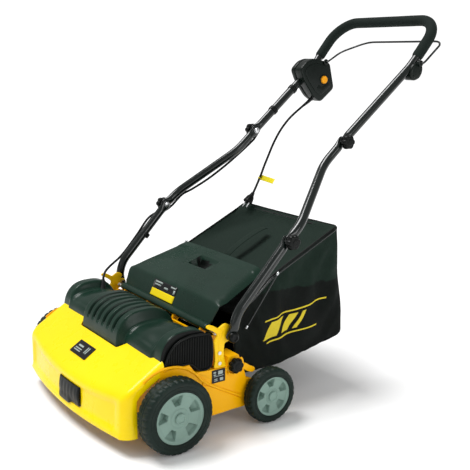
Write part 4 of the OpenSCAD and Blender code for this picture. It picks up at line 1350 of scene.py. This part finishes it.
CABLE = 0.0034


def cable_run(name, node, points):
    """A run of the motor cable swept through points; it hides node and stays baked in place, attached to no
    body.
    """
    line = smooth_path(mm([Vector(p) for p in points]), 8)
    run = mesh_object(name, *sweep(line, CABLE, 14), "cable", 50)
    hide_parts(node)
    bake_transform(run)


cable_run("motor_cable_low", "cable_lower", (
    (-236, 91, 262), (-240, 94, 268), (-244, 97, 275), (-258, 110, 285), (-282, 136, 291), (-303, 161, 295),
    (-312.6, 184, 305), (-313, 208, 327), (-312.8, 246, 369), (-312.8, 282, 411), (-312, 314, 428)))
cable_run("motor_cable_middle", "cable_middle", (
    (-312, 314, 428), (-310, 336, 428), (-303, 360, 444), (-292, 390, 476), (-276, 419, 494), (-251, 459,
            524),
    (-227, 496.5, 558), (-210, 525, 586), (-199, 562, 618), (-197, 590, 640)))
cable_run("motor_cable_top", "cable_upper", (
    (-197, 590, 640), (-206, 616, 664), (-216, 640, 698), (-219.5, 665, 722), (-220, 700, 753),
    (-220.5, 738, 785), (-219, 770, 811), (-214, 790, 826)))
# clip on the lower tube
way = (KNEE - FOOT_BEND).normalized()
parts = clip(Vector((-297, 262, 368)), Vector((0, way.y, way.z)), 13.2, 6.6)
settle(mesh_object("lower_cable_clip", *join(parts), "black", 50, weld=False), "lower_handle", ())
gland_line = [at(-226, 84, 240).lerp(at(-240, 94, 268), t) for t in (0, 0.12, 0.3, 0.5, 0.7, 0.88, 1)]
gland_r = [0.0088, 0.0088, 0.0072, 0.0066, 0.0058, 0.005, 0.0042]
gland = mesh_object("cable_gland_sleeve", *sweep(gland_line, gland_r, 20), "cable", 40)
settle(gland, "machine", ["cable_gland"])


# ---------------------------------------------------------------- grass bag

HALF_BAG = 218.0
BOTTOM = [(0, 234, 93.5), (0.42, 389, 97.5), (1.0, 596, 135.5)]
TOP = [(0, 228, 260), (0.26, 302, 301), (0.40, 348, 343), (1.0, 573, 449)]


def line3(points, t):
    return table([(p[0], p[1]) for p in points], t), table([(p[0], p[2]) for p in points], t)


N_TOP, N_CORNER, N_SIDE = 22, 5, 16
RIGHT_TOP = N_TOP + N_CORNER + N_SIDE + 3
LEFT_TOP = RIGHT_TOP + N_CORNER + N_TOP - 1


def ring_of(t, r=13.0):
    """One closed section of the bag at t from mouth to back: bottom, side, top, side."""
    yb, zb = line3(BOTTOM, t)
    yt, zt = line3(TOP, t)
    length = math.hypot(yt - yb, zt - zb)
    pts = []

    def put(x, h):
        f = h / length
        pts.append(Vector((x, lerp(yb, yt, f), lerp(zb, zt, f))))

    w = HALF_BAG
    turns = [math.pi / 2 * i / N_CORNER for i in range(N_CORNER)]
    for i in range(N_TOP):
        put(lerp(-w + r, w - r, i / N_TOP), 0.0)
    for a in turns:
        put(w - r + r * math.sin(a), r - r * math.cos(a))
    for i in range(N_SIDE):
        put(w, lerp(r, length - r, i / N_SIDE))
    for a in turns:
        put(w - r + r * math.cos(a), length - r + r * math.sin(a))
    for i in range(N_TOP):
        put(lerp(w - r, -w + r, i / N_TOP), length)
    for a in turns:
        put(-w + r - r * math.sin(a), length - r + r * math.cos(a))
    for i in range(N_SIDE):
        put(-w, lerp(length - r, r, i / N_SIDE))
    for a in turns:
        put(-w + r - r * math.cos(a), r - r * math.sin(a))
    return pts


stations = 30
rings = [ring_of(i / stations) for i in range(stations + 1)]
count = len(rings[0])
bag_verts = [p for ring in rings for p in ring]
bag_faces = grid_faces(len(rings), count, close_columns=True)
centre = sum(rings[-1], Vector()) / count
start = len(bag_verts) - count
layers = 9
for k in range(1, layers):
    f = 1 - k / layers
    bag_verts += [centre.lerp(p, f) for p in rings[-1]]
    for j in range(count):
        a, b = start + (k - 1) * count + j, start + (k - 1) * count + (j + 1) % count
        bag_faces.append((a, b, b + count, a + count))
bag_verts.append(centre)
tip = len(bag_verts) - 1
for j in range(count):
    a = start + (layers - 1) * count
    bag_faces.append((a + j, a + (j + 1) % count, tip))

bag = mesh_object("grass_bag_cloth", mm(bag_verts), bag_faces, "bag", 180, weld=False)


CLOTH = {"quality": 8, "mass": 0.25, "tension_stiffness": 18, "compression_stiffness": 3,
         "shear_stiffness": 6,
         "bending_stiffness": 0.15, "tension_damping": 12, "shear_damping": 8, "air_damping": 4,
         "vertex_group_mass": "held", "pin_stiffness": 8, "shrink_min": -0.035}
MOST_SAG = 0.016


def held_share(index):
    """How firmly the frame and the seams hold a point of the cloth, from 0 to 1."""
    if index >= count * (stations + 1):
        return 0.0
    ring, j = divmod(index, count)
    at_top = any(abs(j - c) <= 1 for c in (RIGHT_TOP, LEFT_TOP + 1))
    if ring <= 1 or at_top:
        return 1.0
    hold = 0.75 if ring >= stations else 0.0
    if any(abs(j - c) <= 1 for c in (N_TOP + 2, count - 3)):
        hold = max(hold, 0.5)
    return hold


def bag_cloth(obj):
    """Lets the bag's panels sag between its wire frame and seams, then keeps the result."""
    rest = [v.co.copy() for v in obj.data.vertices]
    group = obj.vertex_groups.new(name="held")
    seam = [held_share(index) for index in range(len(rest))]
    for index, hold in enumerate(seam):
        if hold > 0:
            group.add([index], hold, "REPLACE")
    modifier = modify(obj, "CLOTH")
    for key, value in CLOTH.items():
        setattr(modifier.settings, key, value)
    modifier.settings.effector_weights.gravity = 0.8
    modifier.settings.use_internal_springs = False
    modifier.collision_settings.use_collision = False
    modifier.collision_settings.use_self_collision = False
    modifier.point_cache.frame_start = 1
    modifier.point_cache.frame_end = 30
    for f in range(1, 29):
        scene.frame_set(f)
    apply_modifiers(obj)
    scene.frame_set(1)
    for v, base in zip(obj.data.vertices, rest):
        move = v.co - base
        move.z = min(move.z, 0.0)
        if move.length > MOST_SAG:
            move *= MOST_SAG / move.length
        v.co = base + move
    return rest, seam


rest, held = bag_cloth(bag)
# folds that fan from the upper back corner, and puckers along the seams
for v, base, h in zip(bag.data.vertices, rest, held):
    y, z = (base.y - AXLE) * 1000, base.z * 1000
    if abs(abs(base.x) * 1000 - HALF_BAG) < 6:
        dy, dz = 574 - y, 449 - z
        dist = math.hypot(dy, dz)
        angle = math.atan2(dz, dy)
        fan = math.sin(angle * 13 + 1.7 * math.sin(dist / 70)) * smoothstep(20, 90, dist) * smoothstep(460,
                230, dist)
        wave = noise.noise(Vector((base.x * 9, y / 60, z / 45)))
        amount = (5.5 * fan + 5.0 * wave - 5.4) * smoothstep(0, 0.0001, 1 - h)
        sign = 1 if base.x > 0 else -1
        v.co.x += sign * amount / 1000
    else:
        wave = noise.noise(Vector((base.x * 14, y / 50, z / 60)))
        if z > 250 and y < 560:
            v.co.z += (1.8 * wave - 1.5) / 1000 * (1 - h)
        elif y > 540:
            v.co.y -= (1.5 + 2.5 * abs(wave)) / 1000 * (1 - h)
modify(bag, "SUBSURF", levels=1, render_levels=1)
apply_modifiers(bag)
MIDDLE = at(0, 420, 240)


def seam_line(indices):
    """Points along the cloth's own edge, a little inside it."""
    return [v + (MIDDLE - v).normalized() * 0.0006 for v in (bag.data.vertices[i].co.copy() for i in indices)]


parts = [sweep(seam_line([i * count + j for i in range(stations + 1)]), 0.0026, 10)
         for j in (RIGHT_TOP, LEFT_TOP)]
rim = seam_line([stations * count + j for j in range(count)])
parts.append(sweep(rim + rim[:1], 0.0026, 10, caps=False))
piping = mesh_object("bag_piping", *join(parts), "black", 60, weld=False)
settle(piping, "bag", ())

modify(bag, "SOLIDIFY", thickness=0.0016, offset=-1)
apply_modifiers(bag)
for polygon in bag.data.polygons:
    polygon.use_smooth = True
settle(bag, "bag", ["grass_bag"])

# the wire frame that holds the mouth and the top of the bag
side_x = 214.3
half_wire = [V((side_x, 564, 436)), V((side_x, 350, 335)), V((side_x, 300, 294)), V((side_x, 232, 248)),
             V((side_x, 236, 100))]
wire_line = [V((0, 236, 100))] + [V((-q.x, q.y, q.z))
                                  for q in reversed(half_wire)] + half_wire + [V((0, 236, 100))]
bent = wire_line[:1]
for before, corner_at, after in zip(wire_line, wire_line[1:], wire_line[2:]):
    bent += bend(before, corner_at, after, 9, 5)
wire = mesh_object("bag_wire_frame", *sweep(mm(bent + wire_line[-1:]), 0.003, 12), "tube", 50, weld=False)
settle(wire, "bag", ["bag_frame"])

# side rods tucked in cloth tunnels, with bright tips
parts, tips = [], []
for s in (1, -1):
    a, b = V((s * 224, 262, 220)), V((s * 224, 364, 351))
    parts.append(sweep(mm(dense([a, b], 10)), 0.0026, 12))
    d = (b - a).normalized()
    for p, q in ((a, a + d * 9), (b - d * 9, b)):
        tips.append(sweep(mm([p - d * 0.5, p + d * 1.0, q - d * 1.0, q + d * 0.5]),
                          [0.0022, 0.0031, 0.0031, 0.0022], 14))
settle(mesh_object("bag_side_rods", *join(parts), "tube", 45, weld=False), "bag", ())
settle(mesh_object("bag_rod_tips", *join(tips), "zinc", 45, weld=False), "bag", ())

# carrying strap: a flat band along the top that bows up between two stitched ends
rows = []
for i in range(41):
    u = -1 + 2 * i / 40
    y = 420 + 66.5 * u
    rise = 11 * (1 - u * u) ** 0.6 if abs(u) < 0.98 else 0
    row = []
    for j in range(7):
        v = -1 + 2 * j / 6
        base = 345 + (y - 348) * 0.469
        row.append(at(5 + 12.5 * v, y, base + 3.0 + rise + 0.8 * (1 - v * v)))
    rows.append(row)
strap = mesh_object("bag_strap_band", *sheet_grid(rows), "bag", 60)
modify(strap, "SOLIDIFY", thickness=0.0022, offset=0)
modify(strap, "SUBSURF", levels=1, render_levels=1)
apply_modifiers(strap)
settle(strap, "bag", ["bag_strap"])


# ---------------------------------------------------------------- carried-over CAD nodes

def carry(node, material, bevel):
    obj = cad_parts[node]
    obj.data.materials.clear()
    obj.data.materials.append(M[material])
    modify(obj, "BEVEL", width=bevel, segments=2, limit_method="ANGLE", angle_limit=math.radians(35))


for node, material, bevel in (("chassis", "chassis", 0.0014), ("flap_rod", "zinc", 0.0004),
                              ("rotor_bearings", "cast", 0.0006),
                              ("axles", "zinc", 0.0005), ("motor_housing", "cast", 0.001), ("belt_guard",
                                      "black", 0.0005),
                              ("drive_belt", "belt", 0.0003), ("casing_screws", "zinc",
                                      0.0004), ("rotor_shaft", "tine", 0.0006),
                              ("rotor_tines", "tine", 0.0005), ("rotor_pulley", "cast",
                                      0.0003), ("motor_shaft", "zinc", 0.0005),
                              ("motor_pulley", "cast", 0.0003), ("motor_fan", "black", 0.0004)):
    carry(node, material, bevel)


# ---------------------------------------------------------------- floor and light

floor_mesh = bpy.data.meshes.new("floor")
size = 9.0
floor_mesh.from_pydata([(-size, -size, 0), (size, -size, 0), (size, size, 0), (-size, size, 0)], [],
                       [(0, 1, 2, 3)])
floor = bpy.data.objects.new("floor", floor_mesh)
scene.collection.objects.link(floor)
n = Nodes("floor_paper")
floor_mesh.materials.append(n.finish(n.mix(n.noise(3, 2), (0.97, 0.97, 0.97), (0.99, 0.99, 0.99)), 0.9, None,
                                     Specular_IOR_Level=0.1))


def light(name, place, target, size, power):
    lamp = bpy.data.lights.new(name, "AREA")
    lamp.shape = "RECTANGLE"
    lamp.size, lamp.size_y = size
    lamp.energy = power
    obj = bpy.data.objects.new(name, lamp)
    obj.location = place
    obj.rotation_euler = (Vector(target) - Vector(place)).to_track_quat("-Z", "Y").to_euler()
    scene.collection.objects.link(obj)


sun = bpy.data.lights.new("soft_sun", "SUN")
sun.energy = 2.75
sun.angle = math.radians(28)
sun_object = bpy.data.objects.new("soft_sun", sun)
sun_object.rotation_euler = Vector((0.38, 0.28, -1)).to_track_quat("-Z", "Y").to_euler()
scene.collection.objects.link(sun_object)
light("front_light", (0.6, -2.8, 1.0), (0, -0.3, 0.2), (1.2, 1.2), 3)
light("side_light", (2.8, 0.2, 1.3), (0.2, 0, 0.2), (1.4, 1.4), 20)

world = bpy.data.worlds.new("studio")
scene.world = world
world.use_nodes = True
tree = world.node_tree
background = tree.nodes["Background"]
background.inputs[0].default_value = (1, 1, 1, 1)
# white to the camera, softer as light on the machine
seen = tree.nodes.new("ShaderNodeLightPath").outputs["Is Camera Ray"]
strength = tree.nodes.new("ShaderNodeMapRange")
strength.inputs["To Min"].default_value = 0.45
strength.inputs["To Max"].default_value = 1.1
tree.links.new(seen, strength.inputs["Value"])
tree.links.new(strength.outputs[0], background.inputs[1])
scene.view_settings.view_transform = "Standard"
